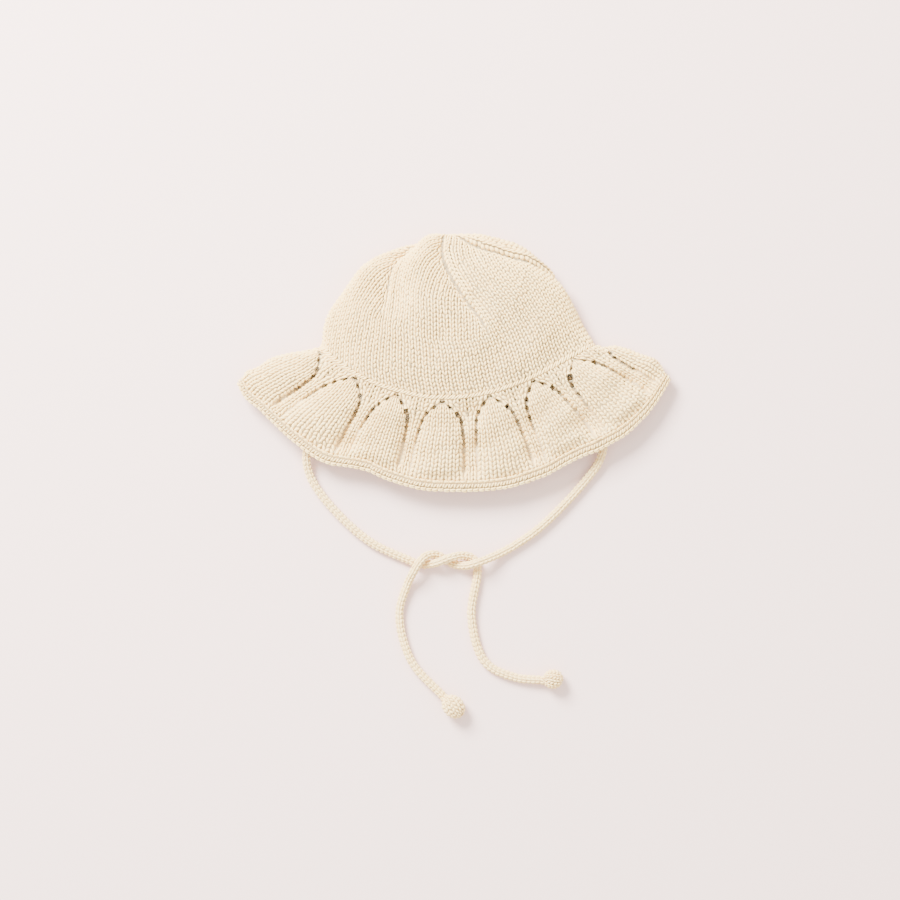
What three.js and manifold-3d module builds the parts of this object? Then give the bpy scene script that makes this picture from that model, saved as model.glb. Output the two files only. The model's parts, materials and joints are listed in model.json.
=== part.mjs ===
// A baby's knitted sun hat, lying on its back as it was laid down: a soft crown, a ruffled brim
// with petals between eyelet arches, a rolled hem, and two knitted ties with a bobble on each end,
// crossed in a half knot. Millimetres, +Z up, the wearer's crown towards +Y, the face towards -Y.
// The origin is on the surface that the hat lies on, under the middle of crown, brim and hem.
import * as THREE from 'three';
import { ParametricGeometry } from 'three/addons/geometries/ParametricGeometry.js';
import { mergeVertices } from 'three/addons/utils/BufferGeometryUtils.js';
import Module from 'manifold-3d';

const wasm = await Module();
wasm.setup();

// Driving dimensions
const FABRIC = 2.4;                 // thickness of the knitted wall
const JOIN_GAP = 0.8;               // clearance between crown and brim, down the fabric
const HEM_GAP = 1.5;                // clearance between brim and hem
const CORD_RADIUS = 3.2;
const JOIN_Y = 12.6;                // height of the join at the two side folds
const CROWN_DEPTH = 80.9;           // from that line to the tip
const CROWN_LENGTH = 132;           // tip to join, measured down the fabric
const BRIM_LENGTH = 66;             // join to outer edge
const HEM_STARTS = 0.865;           // share of the brim's length where the rolled hem begins
const HEM_THICKNESS = 4.2;
const FRONT_SHARE = 0.5115;         // share of every round that lies on the front
const SECTORS = 5;                  // decrease lines that gather the crown to its tip

// Crown, from the tip (along 0) to the join (along 1): where the front and the back wall lie, and
// how far the front rises from left to right
const CROWN_ROWS = [
  { along: 0.00, frontY: 93.5, backY: 93.5, topZ: 9.0, backZ: 9.0, lean: 0 },
  { along: 0.03, frontY: 92.9, backY: 92.9, topZ: 12.6, backZ: 5.4, lean: 0 },
  { along: 0.07, frontY: 90.1, backY: 90.1, topZ: 16.6, backZ: 1.6, lean: 0 },
  { along: 0.15, frontY: 81.4, backY: 80.4, topZ: 23.0, backZ: 0.0, lean: 0 },
  { along: 0.35, frontY: 57.5, backY: 55.0, topZ: 33.0, backZ: 0.0, lean: 1 },
  { along: 0.60, frontY: 24.6, backY: 24.0, topZ: 37.5, backZ: 0.0, lean: 3 },
  { along: 0.85, frontY: -7.6, backY: -6.5, topZ: 35.5, backZ: 0.0, lean: 5.2 },
  { along: 1.00, frontY: -25.8, backY: -25.0, topZ: 31.0, backZ: 0.0, lean: 6 },
].map((row) => ({ bulge: 2.0, squareness: 2.2, ...row }));

// Brim, from the join (along 0) to the outer edge of the hem (along 1)
const BRIM_ROWS = [
  { along: 0.00, frontY: -25.8, backY: -25.0, topZ: 31.0, backZ: 0.0, bulge: 2.0, squareness: 2.2, lean: 6 },
  { along: 0.35, frontY: -49.8, backY: -47.5, topZ: 25.5, backZ: 0.0, bulge: 2.2, squareness: 2.5, lean: 3.6 },
  { along: 0.70, frontY: -73.8, backY: -70.6, topZ: 20.5, backZ: 0.0, bulge: 2.4, squareness: 2.8, lean: 1.2 },
  { along: 0.86, frontY: -84.6, backY: -81.4, topZ: 18.8, backZ: 0.9, bulge: 2.5, squareness: 3.0, lean: 0.4 },
  { along: 1.00, frontY: -93.6, backY: -90.4, topZ: 17.6, backZ: 0.9, bulge: 2.6, squareness: 3.0, lean: 0 },
];

// The crown's two side folds, seen from above
const CROWN_SIDES = [
  { along: 0.00, left: -5.0, right: -5.0 },
  { along: 0.05, left: -10.8, right: 6.2 },
  { along: 0.10, left: -16.4, right: 16.6 },
  { along: 0.20, left: -28.0, right: 30.0 },
  { along: 0.30, left: -41.0, right: 44.0 },
  { along: 0.40, left: -53.2, right: 56.6 },
  { along: 0.50, left: -64.4, right: 66.6 },
  { along: 0.60, left: -74.2, right: 75.2 },
  { along: 0.70, left: -82.6, right: 82.8 },
  { along: 0.80, left: -89.4, right: 89.6 },
  { along: 0.90, left: -94.2, right: 95.0 },
  { along: 1.00, left: -97.2, right: 101.2 },
];

// The brim's side folds, seen from above: a quadratic curve out from the join
const BRIM_FOLDS = {
  left: [{ x: -97.2, y: 12.6 }, { x: -145.2, y: 3.2 }, { x: -157.2, y: -15.5 }],
  right: [{ x: 101.2, y: 12.6 }, { x: 145, y: 6.5 }, { x: 157, y: -12.6 }],
};

// How the ruffled edge swings up and down from the left fold (along 0) to the right one (along 1)
const HEM_WAVE = [
  { along: 0.000, up: 0.0 }, { along: 0.020, up: -2.9 }, { along: 0.055, up: 0.3 },
  { along: 0.130, up: 0.0 }, { along: 0.185, up: -0.5 }, { along: 0.210, up: 0.5 },
  { along: 0.240, up: 3.6 }, { along: 0.270, up: 6.2 }, { along: 0.300, up: 7.2 },
  { along: 0.330, up: 5.4 }, { along: 0.370, up: 3.2 }, { along: 0.410, up: 1.1 },
  { along: 0.450, up: 0.0 }, { along: 0.620, up: 0.0 }, { along: 0.680, up: 1.8 },
  { along: 0.720, up: 2.7 }, { along: 0.760, up: 4.6 }, { along: 0.800, up: 4.0 },
  { along: 0.830, up: 1.6 }, { along: 0.860, up: -0.4 }, { along: 0.885, up: -2.7 },
  { along: 0.920, up: -4.2 }, { along: 0.960, up: -4.0 }, { along: 1.000, up: 0.0 },
];

// The ribs between the petals of the front, as shares of the whole round, at three places down
// the brim; those of the back are evenly spaced
const FRONT_RIBS = [
  { along: 0.0, turns: [0.0570, 0.1270, 0.1970, 0.2725, 0.3450, 0.4185, 0.4900] },
  { along: 0.3, turns: [0.0636, 0.1360, 0.2020, 0.2745, 0.3435, 0.4105, 0.4810] },
  { along: 1.0, turns: [0.0525, 0.1355, 0.2010, 0.2710, 0.3450, 0.4145, 0.4890] },
];
const BACK_RIBS = 7;
const REPEATS = FRONT_RIBS[0].turns.length + BACK_RIBS;

// The arch that opens over a petal: half its width, as a share of the way from rib to rib
const ARCH = [
  { along: 0.000, half: 0 }, { along: 0.040, half: 0 }, { along: 0.075, half: 0.09 },
  { along: 0.110, half: 0.165 }, { along: 0.155, half: 0.24 }, { along: 0.200, half: 0.30 },
  { along: 0.250, half: 0.336 }, { along: 0.305, half: 0.36 }, { along: 0.430, half: 0.385 },
  { along: 0.560, half: 0.40 }, { along: 1.000, half: 0.41 },
];
const TIP_Z = 9.0;                  // height of the tip, and of the middle of the side folds
const FOLD_Z = 8.5;

// Where the second decrease line runs around the crown, as a share of the whole round
const DECREASE_ROWS = [
  { along: 0.000, turn: 0.120 },
  { along: 0.070, turn: 0.145 },
  { along: 0.155, turn: 0.178 },
  { along: 0.270, turn: 0.2235 },
  { along: 0.360, turn: 0.252 },
  { along: 0.440, turn: 0.273 },
  { along: 0.510, turn: 0.292 },
  { along: 0.570, turn: 0.305 },
  { along: 0.650, turn: 0.317 },
  { along: 0.740, turn: 0.326 },
  { along: 1.000, turn: 0.335 },
];

// Relief of the fabric
const LOBE_HEIGHT = 2.6;            // crown between two decrease lines
const RIDGE_HEIGHT = 1.5;           // raised stitches beside a decrease line
const RIDGE_PLACE = 0.062;          // its middle, as a share of a sector
const RIDGE_WIDTH = 0.05;
const VALLEY_DEPTH = 3.4;           // the dent along the first decrease line
const VALLEY_PLACE = 0.012;         // how far it lies beside that line, and its width
const VALLEY_WIDTH = 0.085;
const PETAL_HEIGHT = 3.4;
const RIB_DEPTH = 1.4;              // how far the ribs between the petals sink
const BACK_RIB_RISE = 0.9;          // where the back lies flat, only the ribs lift

// Eyelets of one arch, down the brim: the first one is its top, the others come in pairs
const EYELETS = [
  { reach: 0.045, long: 3.6, wide: 1.5 },
  { reach: 0.110, long: 3.0, wide: 1.5 },
  { reach: 0.205, long: 3.0, wide: 1.7 },
  { reach: 0.305, long: 3.2, wide: 1.6 },
  { reach: 0.430, long: 3.4, wide: 1.4 },
];
const BACK_EYELETS = 4;             // the arches underneath have the first few of them
const BACK_ARCHES = { first: 7, last: 12 };

const { clamp, lerp, smoothstep } = THREE.MathUtils;

/** A table's column at a place between its rows, on one smooth curve through them. */
function column(rows, read, along) {
  const last = rows.length - 1;
  const x = clamp(along, rows[0].along, rows[last].along);
  let i = 0;
  while (i < last - 1 && x > rows[i + 1].along) i += 1;
  const slopeAt = (k) => {
    const a = rows[Math.max(k - 1, 0)];
    const b = rows[Math.min(k + 1, last)];
    return (read(b) - read(a)) / (b.along - a.along);
  };
  const span = rows[i + 1].along - rows[i].along;
  const t = (x - rows[i].along) / span;
  const h = t * t * (3 - 2 * t);
  return read(rows[i]) * (1 - h) + read(rows[i + 1]) * h
    + span * t * (1 - t) * ((1 - t) * slopeAt(i) - t * slopeAt(i + 1));
}

/** One round of the hat: length runs 0 to 1 down the crown and 1 to 2 down the brim. */
function roundAt(length) {
  const onCrown = length <= 1;
  const along = onCrown ? length : length - 1;
  const row = (name) => column(onCrown ? CROWN_ROWS : BRIM_ROWS, (sizes) => sizes[name], along);
  const foldPoint = (side) => {
    if (onCrown) {
      const y = JOIN_Y + CROWN_DEPTH * Math.cos(along * Math.PI / 2);
      return [column(CROWN_SIDES, (sizes) => sizes[side], along), y];
    }
    const points = BRIM_FOLDS[side].map(({ x, y }) => new THREE.Vector2(x, y));
    return new THREE.QuadraticBezierCurve(...points).getPoint(along).toArray();
  };
  return {
    left: foldPoint('left'),
    right: foldPoint('right'),
    frontY: row('frontY'),
    backY: row('backY'),
    topZ: row('topZ'),
    backZ: Math.max(row('backZ'), 0),
    bulge: row('bulge'),
    squareness: row('squareness'),
    lean: row('lean'),
    wave: onCrown ? 0 : smoothstep(along, 0.1, 1),
    foldZ: lerp(TIP_Z, FOLD_Z, Math.min(length, 1)),
  };
}

const SAMPLES = 96;
const madeRounds = new Map();

/** The same round as evenly measured points: front from left to right fold, then back again. */
function measuredRound(length) {
  const key = length.toFixed(5);
  if (madeRounds.has(key)) return madeRounds.get(key);
  const r = roundAt(length);
  const half = (r.right[0] - r.left[0]) / 2;
  const corner = Math.min(1.5 * r.foldZ, 0.8 * half);
  const halves = ['front', 'back'].map((side) => {
    const points = [];
    for (let k = 0; k <= SAMPLES; k += 1) {
      const s = -Math.cos(Math.PI * k / SAMPLES);
      const share = (s + 1) / 2;
      const x = lerp(r.left[0], r.right[0], share);
      const flatY = lerp(r.left[1], r.right[1], share);
      const foldY = flatY + r.wave * column(HEM_WAVE, (place) => place.up, share);
      const bow = 1 - Math.abs(s) ** r.bulge;
      if (side === 'front') {
        const dome = (1 - Math.abs(s) ** r.squareness) ** (1 / r.squareness);
        const y = foldY + (r.frontY - flatY) * bow + r.lean * s * (1 - s ** 6);
        points.push(new THREE.Vector3(x, y, lerp(r.foldZ, r.topZ, dome)));
      } else {
        const into = half > 0 ? clamp((Math.abs(s) * half - (half - corner)) / corner, 0, 1) : 1;
        const dip = Math.sqrt(1 - into * into);
        const y = foldY + (r.backY - flatY) * bow;
        points.push(new THREE.Vector3(x, y, lerp(r.foldZ, r.backZ, dip)));
      }
    }
    const lengths = [0];
    for (let k = 1; k <= SAMPLES; k += 1) {
      lengths.push(lengths[k - 1] + points[k].distanceTo(points[k - 1]));
    }
    return { points, lengths };
  });
  madeRounds.set(key, halves);
  return halves;
}

function measuredWidth(length) {
  const [front, back] = measuredRound(length);
  return front.lengths[SAMPLES] + back.lengths[SAMPLES];
}

/** The smooth outer surface, before its relief: turn runs 0 to 1 around from the left fold. */
function basePoint(length, turn) {
  const around = turn - Math.floor(turn);
  const [front, back] = measuredRound(length);
  const onFront = around < FRONT_SHARE;
  const { points, lengths } = onFront ? front : back;
  const share = onFront ? around / FRONT_SHARE : 1 - (around - FRONT_SHARE) / (1 - FRONT_SHARE);
  const wanted = share * lengths[SAMPLES];
  let k = 1;
  while (k < SAMPLES && lengths[k] < wanted) k += 1;
  const step = lengths[k] - lengths[k - 1];
  const t = step > 0 ? (wanted - lengths[k - 1]) / step : 0;
  return points[k - 1].clone().lerp(points[k], clamp(t, 0, 1));
}

/** The base surface's outward normal, and the direction down the fabric. */
function baseFrame(length, turn) {
  const tip = new THREE.Vector3(0, 1, 0);
  if (length < 0.001) return { normal: tip, down: new THREE.Vector3(1, 0, 0) };
  const [before, after] = [Math.max(length - 0.012, 0), Math.min(length + 0.012, 2)];
  const down = basePoint(after, turn).sub(basePoint(before, turn)).normalize();
  const across = basePoint(length, turn + 0.004).sub(basePoint(length, turn - 0.004)).normalize();
  const normal = down.clone().cross(across).normalize();
  return { normal, down };
}

/** How near a turn is to a line, in shares of the whole round, signed. */
function turnFrom(turn, line) {
  const d = turn - line;
  return d - Math.round(d);
}

function crownRelief(along, turn) {
  const line = column(DECREASE_ROWS, (row) => row.turn, along);
  const sector = turnFrom(turn, line) * SECTORS;
  const place = sector - Math.floor(sector);
  const near = Math.min(place, 1 - place);
  const gathered = smoothstep(along, 0.02, 0.12) * (1 - smoothstep(along, 0.5, 0.72));
  const lobe = LOBE_HEIGHT * (Math.sin(Math.PI * place) ** 0.8 - 0.5);
  const ridge = RIDGE_HEIGHT * Math.exp(-(((place - RIDGE_PLACE) / RIDGE_WIDTH) ** 2));
  const fromValley = turnFrom(turn, line - 1 / SECTORS + VALLEY_PLACE) / (VALLEY_WIDTH / 2);
  const valley = -VALLEY_DEPTH * Math.exp(-(fromValley ** 2)) * smoothstep(along, 0.08, 0.25);
  return gathered * (lobe + valley + (near < 0.3 ? ridge : 0));
}

/** The turns of the ribs at a place down the brim, rising, with the first one again at the end. */
function ribsAt(reach) {
  const front = FRONT_RIBS[0].turns.map((_, k) => column(FRONT_RIBS, (row) => row.turns[k], reach));
  const spaces = BACK_RIBS + 1;
  const last = front.at(-1);
  const back = Array.from({ length: spaces }, (_, k) => lerp(last, front[0] + 1, (k + 1) / spaces));
  return [...front, ...back];
}

/** The turn of a place between two ribs: 0 on the first one, 0.5 on the petal's middle. */
function turnInRepeat(repeat, place, reach) {
  const ribs = ribsAt(reach);
  return lerp(ribs[repeat], ribs[repeat + 1], place);
}

function placeInRepeat(turn, reach) {
  const ribs = ribsAt(reach);
  const around = turn - Math.floor(turn - ribs[0]);
  const repeat = ribs.findLastIndex((rib) => rib <= around);
  const start = Math.min(repeat, REPEATS - 1);
  return (around - ribs[start]) / (ribs[start + 1] - ribs[start]);
}

function archHalf(reach) {
  return Math.max(column(ARCH, (row) => row.half, reach), 0);
}

/** How far a petal stands at a place in its repeat: 1 on its middle, 0 outside its arch. */
function petalShape(place, reach) {
  const out = Math.abs(place - 0.5) / Math.max(archHalf(reach), 0.001);
  return out < 1 ? 1 - out ** 4 : 0;
}

function brimRelief(along, turn, raised) {
  const reach = Math.min(along / HEM_STARTS, 1);
  const petal = petalShape(placeInRepeat(turn, reach), reach);
  const alive = smoothstep(reach, 0.0, 0.22) * (1 - smoothstep(reach, 0.9, 1.0));
  const front = alive * (petal * (PETAL_HEIGHT + RIB_DEPTH) - RIB_DEPTH);
  const back = alive * (petal - 1) * BACK_RIB_RISE;
  return lerp(back, front, raised);
}

/** A point of the wall: inset 0 is the outer face and inset FABRIC the inner one. */
function wallPoint(length, turn, inset) {
  const point = basePoint(length, turn);
  const { normal } = baseFrame(length, turn);
  const raised = smoothstep(point.z, 0.5, 7);
  const relief = length < 1
    ? raised * crownRelief(length, turn)
    : brimRelief(length - 1, turn, raised);
  return point.addScaledVector(normal, relief - inset);
}

/** A closed shell through rings of points, each ring given by a function of its column. */
function shell(rings, columns, name, colour) {
  const place = (u, v, target) => {
    const ring = rings[Math.round(v * (rings.length - 1))];
    target.copy(ring(Math.round((1 - u) * columns) % columns));
  };
  return namedMesh(new ParametricGeometry(place, columns, rings.length - 1), name, colour);
}

function namedMesh(geometry, name, colour) {
  const material = new THREE.MeshStandardMaterial({ color: colour, roughness: 0.95, metalness: 0 });
  const mesh = new THREE.Mesh(geometry, material);
  mesh.name = name;
  return mesh;
}

function solidOf(geometry) {
  const bare = geometry.clone();
  bare.deleteAttribute('normal');
  bare.deleteAttribute('uv');
  const merged = mergeVertices(bare, 1e-4);
  return new wasm.Manifold(new wasm.Mesh({
    numProp: 3,
    vertProperties: merged.attributes.position.array,
    triVerts: new Uint32Array(merged.index.array),
  }));
}

function geometryOf(solid) {
  const { vertProperties, triVerts } = solid.getMesh();
  return new THREE.BufferGeometry()
    .setAttribute('position', new THREE.BufferAttribute(vertProperties, 3))
    .setIndex(new THREE.BufferAttribute(triVerts, 1));
}

const YARN = 0xeadcbc;

// The crown's columns run from fold to fold and follow the middle decrease line between them:
// shares of the way from the left fold to that line, on to the right fold, and back underneath
const CROWN_COLUMNS = {
  left: [0, 0.02, 0.06, 0.12, 0.2, 0.29, 0.38, 0.47, 0.56, 0.65, 0.74, 0.82, 0.89, 0.95],
  right: [0, 0.04, 0.09, 0.16, 0.25, 0.34, 0.43, 0.52, 0.61, 0.7, 0.79, 0.87, 0.93, 0.975],
  back: [0, 0.02, 0.045, 0.08, 0.13, 0.25, 0.42, 0.58, 0.75, 0.87, 0.92, 0.955, 0.98],
};
const CROWN_RINGS = [0, 0.025, 0.06, 0.11, 0.17, 0.24, 0.32, 0.41, 0.5, 0.6, 0.72, 0.86];

function crownTurns(along) {
  const line = column(DECREASE_ROWS, (row) => row.turn, along);
  return [
    ...CROWN_COLUMNS.left.map((share) => lerp(0, line, share)),
    ...CROWN_COLUMNS.right.map((share) => lerp(line, FRONT_SHARE, share)),
    ...CROWN_COLUMNS.back.map((share) => lerp(FRONT_SHARE, 1, share)),
  ];
}

function crown() {
  const ring = (along, inset) => {
    const turns = crownTurns(along);
    return (k) => wallPoint(along, turns[k], inset);
  };
  const lengths = [...CROWN_RINGS, 1 - JOIN_GAP / CROWN_LENGTH / 2];
  const outer = lengths.map((along) => ring(along, 0));
  const inner = lengths.map((along) => ring(along, FABRIC)).reverse();
  return shell([...outer, ...inner], crownTurns(1).length, 'crown', YARN);
}

// The brim's columns repeat with its petals: the rib's middle, the petal's edge, its flank at a
// share of the arch's half width, its middle, and the same the other way
const FLANK = 0.7;
const NARROWEST_ARCH = 0.14;
const COLUMNS_IN_REPEAT = 6;
const BRIM_RINGS = { outer: [0.067, 0.136, 0.22, 0.32, 0.52, 0.72], inner: [0.136, 0.32, 0.6] };

function repeatPlaces(reach) {
  const half = Math.max(archHalf(reach), NARROWEST_ARCH);
  const before = [0, 0.455 - half, 0.5 - FLANK * half];
  return [...before, 0.5, ...before.slice(1).reverse().map((place) => 1 - place)];
}

/** A cutting block for one eyelet, turned to lie along its arch. */
function eyelet(repeat, hole, side) {
  const turn = turnInRepeat(repeat, 0.5 + side * archHalf(hole.reach), hole.reach);
  const length = 1 + hole.reach * HEM_STARTS;
  const centre = wallPoint(length, turn, FABRIC / 2);
  const { normal, down } = baseFrame(length, turn);
  const across = down.clone().cross(normal);
  const width = measuredWidth(length) / REPEATS;
  const opening = (archHalf(hole.reach + 0.02) - archHalf(hole.reach - 0.02)) * width;
  const lean = side === 0 ? 0 : Math.atan2(0.04 * HEM_STARTS * BRIM_LENGTH, opening);
  const block = new THREE.BoxGeometry(hole.long, hole.wide, 4 * FABRIC).rotateZ(side * lean);
  return block.applyMatrix4(new THREE.Matrix4().makeBasis(across, down, normal).setPosition(centre));
}

const BRIM_COLUMNS = REPEATS * COLUMNS_IN_REPEAT;

function brimTurn(k, along) {
  const reach = Math.min(along / HEM_STARTS, 1);
  const place = repeatPlaces(reach)[k % COLUMNS_IN_REPEAT];
  return turnInRepeat(Math.floor(k / COLUMNS_IN_REPEAT), place, reach);
}

function brim() {
  const ring = (along, inset) => (k) => wallPoint(1 + along, brimTurn(k, along), inset);
  const [first, last] = [JOIN_GAP / BRIM_LENGTH / 2, HEM_STARTS - HEM_GAP / BRIM_LENGTH];
  const outer = [first, ...BRIM_RINGS.outer, last].map((along) => ring(along, 0));
  const inner = [last, ...BRIM_RINGS.inner.toReversed(), first].map((along) => ring(along, FABRIC));
  const whole = shell([...outer, ...inner, outer[0]], BRIM_COLUMNS, 'brim', YARN);
  let pierced = solidOf(whole.geometry);
  for (let repeat = 0; repeat < REPEATS; repeat += 1) {
    const isBehind = repeat >= BACK_ARCHES.first && repeat <= BACK_ARCHES.last;
    const holes = isBehind ? EYELETS.slice(0, BACK_EYELETS) : EYELETS;
    holes.forEach((hole, k) => {
      const sides = k === 0 ? [0] : [-1, 1];
      for (const side of sides) pierced = pierced.subtract(solidOf(eyelet(repeat, hole, side)));
    });
  }
  whole.geometry = geometryOf(pierced);
  return whole;
}

// The hem's section: place down the fabric as a share of its width, height as a share of its
// thickness
const HEM_SECTION = [
  { across: 0.0, up: 0.36 },
  { across: 0.5, up: 0.5 },
  { across: 1.0, up: 0.3 },
  { across: 1.0, up: -0.3 },
  { across: 0.5, up: -0.5 },
  { across: 0.0, up: -0.36 },
];

function hem() {
  const rings = HEM_SECTION.map(({ across, up }) => (k) => {
    const along = lerp(HEM_STARTS, 1, across);
    return wallPoint(1 + along, brimTurn(k, along), FABRIC / 2 - up * HEM_THICKNESS);
  });
  return shell([...rings, rings[0]], BRIM_COLUMNS, 'hem', YARN);
}

// Routes of the ties' middle lines, from the seam inside the crown to the bobble. They lie at
// height LOW on the surface, and cross each other at height HIGH in the half knot.
const LOW = 3.3;
const HIGH = 10.5;
const LEFT_TIE = [
  { x: -88.5, y: 13.0, z: 7.2 },
  { x: -96.0, y: -25.0, z: 7.4 },
  { x: -106.6, y: -64.0, z: 8.0 },
  { x: -105.2, y: -79.0, z: 4.9 },
  { x: -95.6, y: -96.0, z: LOW },
  { x: -63.0, y: -128.0, z: LOW },
  { x: -32.0, y: -143.0, z: LOW },
  { x: -25.0, y: -145.8, z: 3.5 },
  { x: -18.5, y: -146.6, z: 5.2 },
  { x: -12.5, y: -144.9, z: 8.9 },
  { x: -6.8, y: -141.9, z: HIGH },
  { x: -1.0, y: -139.2, z: 9.7 },
  { x: 5.0, y: -138.0, z: 6.8 },
  { x: 11.4, y: -139.4, z: 4.0 },
  { x: 15.9, y: -143.8, z: LOW },
  { x: 16.9, y: -152.0, z: LOW },
  { x: 12.6, y: -184.0, z: LOW },
  { x: 22.5, y: -216.5, z: LOW },
  { x: 44.0, y: -227.6, z: LOW },
  { x: 63.9, y: -229.6, z: 4.6 },
];
const RIGHT_TIE = [
  { x: 91.2, y: 13.0, z: 7.4 },
  { x: 101.2, y: -24.0, z: 7.4 },
  { x: 108.2, y: -56.0, z: 8.0 },
  { x: 105.6, y: -70.0, z: 5.5 },
  { x: 96.0, y: -84.4, z: 3.4 },
  { x: 62.5, y: -119.0, z: LOW },
  { x: 44.0, y: -132.0, z: LOW },
  { x: 33.0, y: -138.0, z: 4.6 },
  { x: 25.0, y: -141.6, z: 8.0 },
  { x: 17.2, y: -144.8, z: HIGH },
  { x: 10.6, y: -147.2, z: 9.2 },
  { x: 4.0, y: -147.3, z: 5.4 },
  { x: -2.0, y: -145.0, z: 3.4 },
  { x: -11.4, y: -138.2, z: 3.9 },
  { x: -16.8, y: -137.2, z: 6.6 },
  { x: -21.6, y: -139.4, z: 9.7 },
  { x: -25.6, y: -144.4, z: HIGH },
  { x: -29.2, y: -151.0, z: 9.1 },
  { x: -33.6, y: -160.0, z: 4.8 },
  { x: -39.6, y: -182.0, z: LOW },
  { x: -31.0, y: -215.6, z: LOW },
  { x: -7.2, y: -242.0, z: 4.8 },
];
const CORD_SIDES = 8;
const CORD_STEPS = 48;

function tie(route, name) {
  const points = route.map(({ x, y, z }) => new THREE.Vector3(x, y, z));
  const drawn = new THREE.CatmullRomCurve3(points, false, 'centripetal');
  const resting = drawn.getPoints(8 * points.length).map((p) => p.setZ(Math.max(p.z, LOW)));
  const path = new THREE.CatmullRomCurve3(resting, false, 'centripetal');
  const section = new THREE.Shape();
  for (let k = 0; k < CORD_SIDES; k += 1) {
    const angle = 2 * Math.PI * k / CORD_SIDES;
    const place = [CORD_RADIUS * Math.cos(angle), CORD_RADIUS * Math.sin(angle)];
    if (k === 0) section.moveTo(...place);
    else section.lineTo(...place);
  }
  section.closePath();
  const tube = new THREE.ExtrudeGeometry(section, { steps: CORD_STEPS, extrudePath: path, bevelEnabled: false });
  return namedMesh(tube, name, YARN);
}

// Bobbles: knitted balls, slightly longer along the cord, lying on the surface
const BOBBLES = [
  { name: 'bobble_left', x: -0.4, y: -248.4, long: 9.2, wide: 7.8, angle: -48 },
  { name: 'bobble_right', x: 71.6, y: -228.6, long: 7.4, wide: 7.0, angle: 6 },
];

function bobble({ name, x, y, long, wide, angle }) {
  const ball = new THREE.SphereGeometry(1, 14, 10).rotateX(Math.PI / 2);
  const mesh = namedMesh(ball.scale(long, wide, wide), name, YARN);
  mesh.rotation.z = THREE.MathUtils.degToRad(angle);
  mesh.position.set(x, y, wide);
  return mesh;
}

const hat = new THREE.Group();
hat.add(crown());
hat.add(brim());
hat.add(hem());
hat.add(tie(LEFT_TIE, 'tie_left'));
hat.add(tie(RIGHT_TIE, 'tie_right'));
for (const ball of BOBBLES) hat.add(bobble(ball));

export default hat;
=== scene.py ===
"""A child's knitted sun hat, lying on its back on a pale floor with its ties crossed in a half knot.

The hat is one curved fabric from the crown's tip to the brim's edge. Every stitch is a pair of
yarn legs laid on that fabric; the ties and bobbles are knitted the same way over their own forms.
Sizes are in millimetres until a point is handed to Blender, which takes metres.
"""
from __future__ import annotations

import json
import logging
import math
from dataclasses import dataclass, field, replace
from enum import Enum
from typing import Protocol, Sequence

import bmesh
import bpy
import numpy as np
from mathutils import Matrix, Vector

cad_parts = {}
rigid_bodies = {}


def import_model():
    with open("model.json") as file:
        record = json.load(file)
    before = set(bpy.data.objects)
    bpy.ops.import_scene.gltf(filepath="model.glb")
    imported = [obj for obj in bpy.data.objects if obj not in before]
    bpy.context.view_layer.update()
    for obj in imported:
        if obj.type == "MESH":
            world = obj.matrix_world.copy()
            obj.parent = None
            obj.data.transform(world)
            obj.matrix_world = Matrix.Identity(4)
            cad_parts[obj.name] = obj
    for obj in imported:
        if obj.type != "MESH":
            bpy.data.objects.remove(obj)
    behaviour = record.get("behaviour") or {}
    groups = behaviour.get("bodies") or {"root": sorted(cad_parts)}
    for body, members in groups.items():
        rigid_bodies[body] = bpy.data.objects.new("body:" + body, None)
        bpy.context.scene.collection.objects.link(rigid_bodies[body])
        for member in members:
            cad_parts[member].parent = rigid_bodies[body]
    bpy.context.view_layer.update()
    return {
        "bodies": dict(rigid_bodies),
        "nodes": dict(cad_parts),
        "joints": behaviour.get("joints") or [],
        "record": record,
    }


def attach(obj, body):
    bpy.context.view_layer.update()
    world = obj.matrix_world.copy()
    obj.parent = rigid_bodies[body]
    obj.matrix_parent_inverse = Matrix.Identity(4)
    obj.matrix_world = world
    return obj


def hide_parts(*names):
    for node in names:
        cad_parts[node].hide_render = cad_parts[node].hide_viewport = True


LOG = logging.getLogger("sun_hat")
MM = 0.001
BODY = "root"
SAME_POINT = 0.002  # points nearer than this are one, in millimetres
FAR = 99.0  # farther from a slit than any place is
LIFT = 0.5  # how far a point moves to find the way out of a surface, in millimetres
LEAST_STITCH = 0.35  # the share of a full column under which no stitch is knitted
Array = np.ndarray


def smoothstep(value: Array | float, low: float, high: float) -> Array:
    """Ease from 0 at low to 1 at high.

    Args:
        value: where to look.
        low: the value that gives 0.
        high: the value that gives 1.

    Returns:
        The eased share, of value's own shape.
    """
    share = np.clip((np.asarray(value, float) - low) / (high - low), 0.0, 1.0)
    return share * share * (3.0 - 2.0 * share)


def curve_through(places: Sequence[float], values: Sequence[float], at: Array | float) -> Array:
    """Follow one smooth curve through a table's rows.

    Args:
        places: the rows' places, rising.
        values: the rows' values.
        at: the places that are wanted.

    Returns:
        The curve's value at each wanted place.
    """
    x, y = np.asarray(places, float), np.asarray(values, float)
    low = np.maximum(np.arange(len(x)) - 1, 0)
    high = np.minimum(np.arange(len(x)) + 1, len(x) - 1)
    slope = (y[high] - y[low]) / (x[high] - x[low])
    place = np.clip(np.asarray(at, float), x[0], x[-1])
    i = np.clip(np.searchsorted(x, place, side="right") - 1, 0, len(x) - 2)
    span = x[i + 1] - x[i]
    t = (place - x[i]) / span
    ease = t * t * (3 - 2 * t)
    bend = span * t * (1 - t) * ((1 - t) * slope[i] - t * slope[i + 1])
    return y[i] * (1 - ease) + y[i + 1] * ease + bend


def unit(vectors: Array) -> Array:
    """Scale vectors to length one, and leave a null vector null.

    Args:
        vectors: the vectors, in the last direction.

    Returns:
        The scaled vectors.
    """
    size = np.linalg.norm(vectors, axis=-1, keepdims=True)
    return vectors / np.maximum(size, 1e-9)


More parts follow.
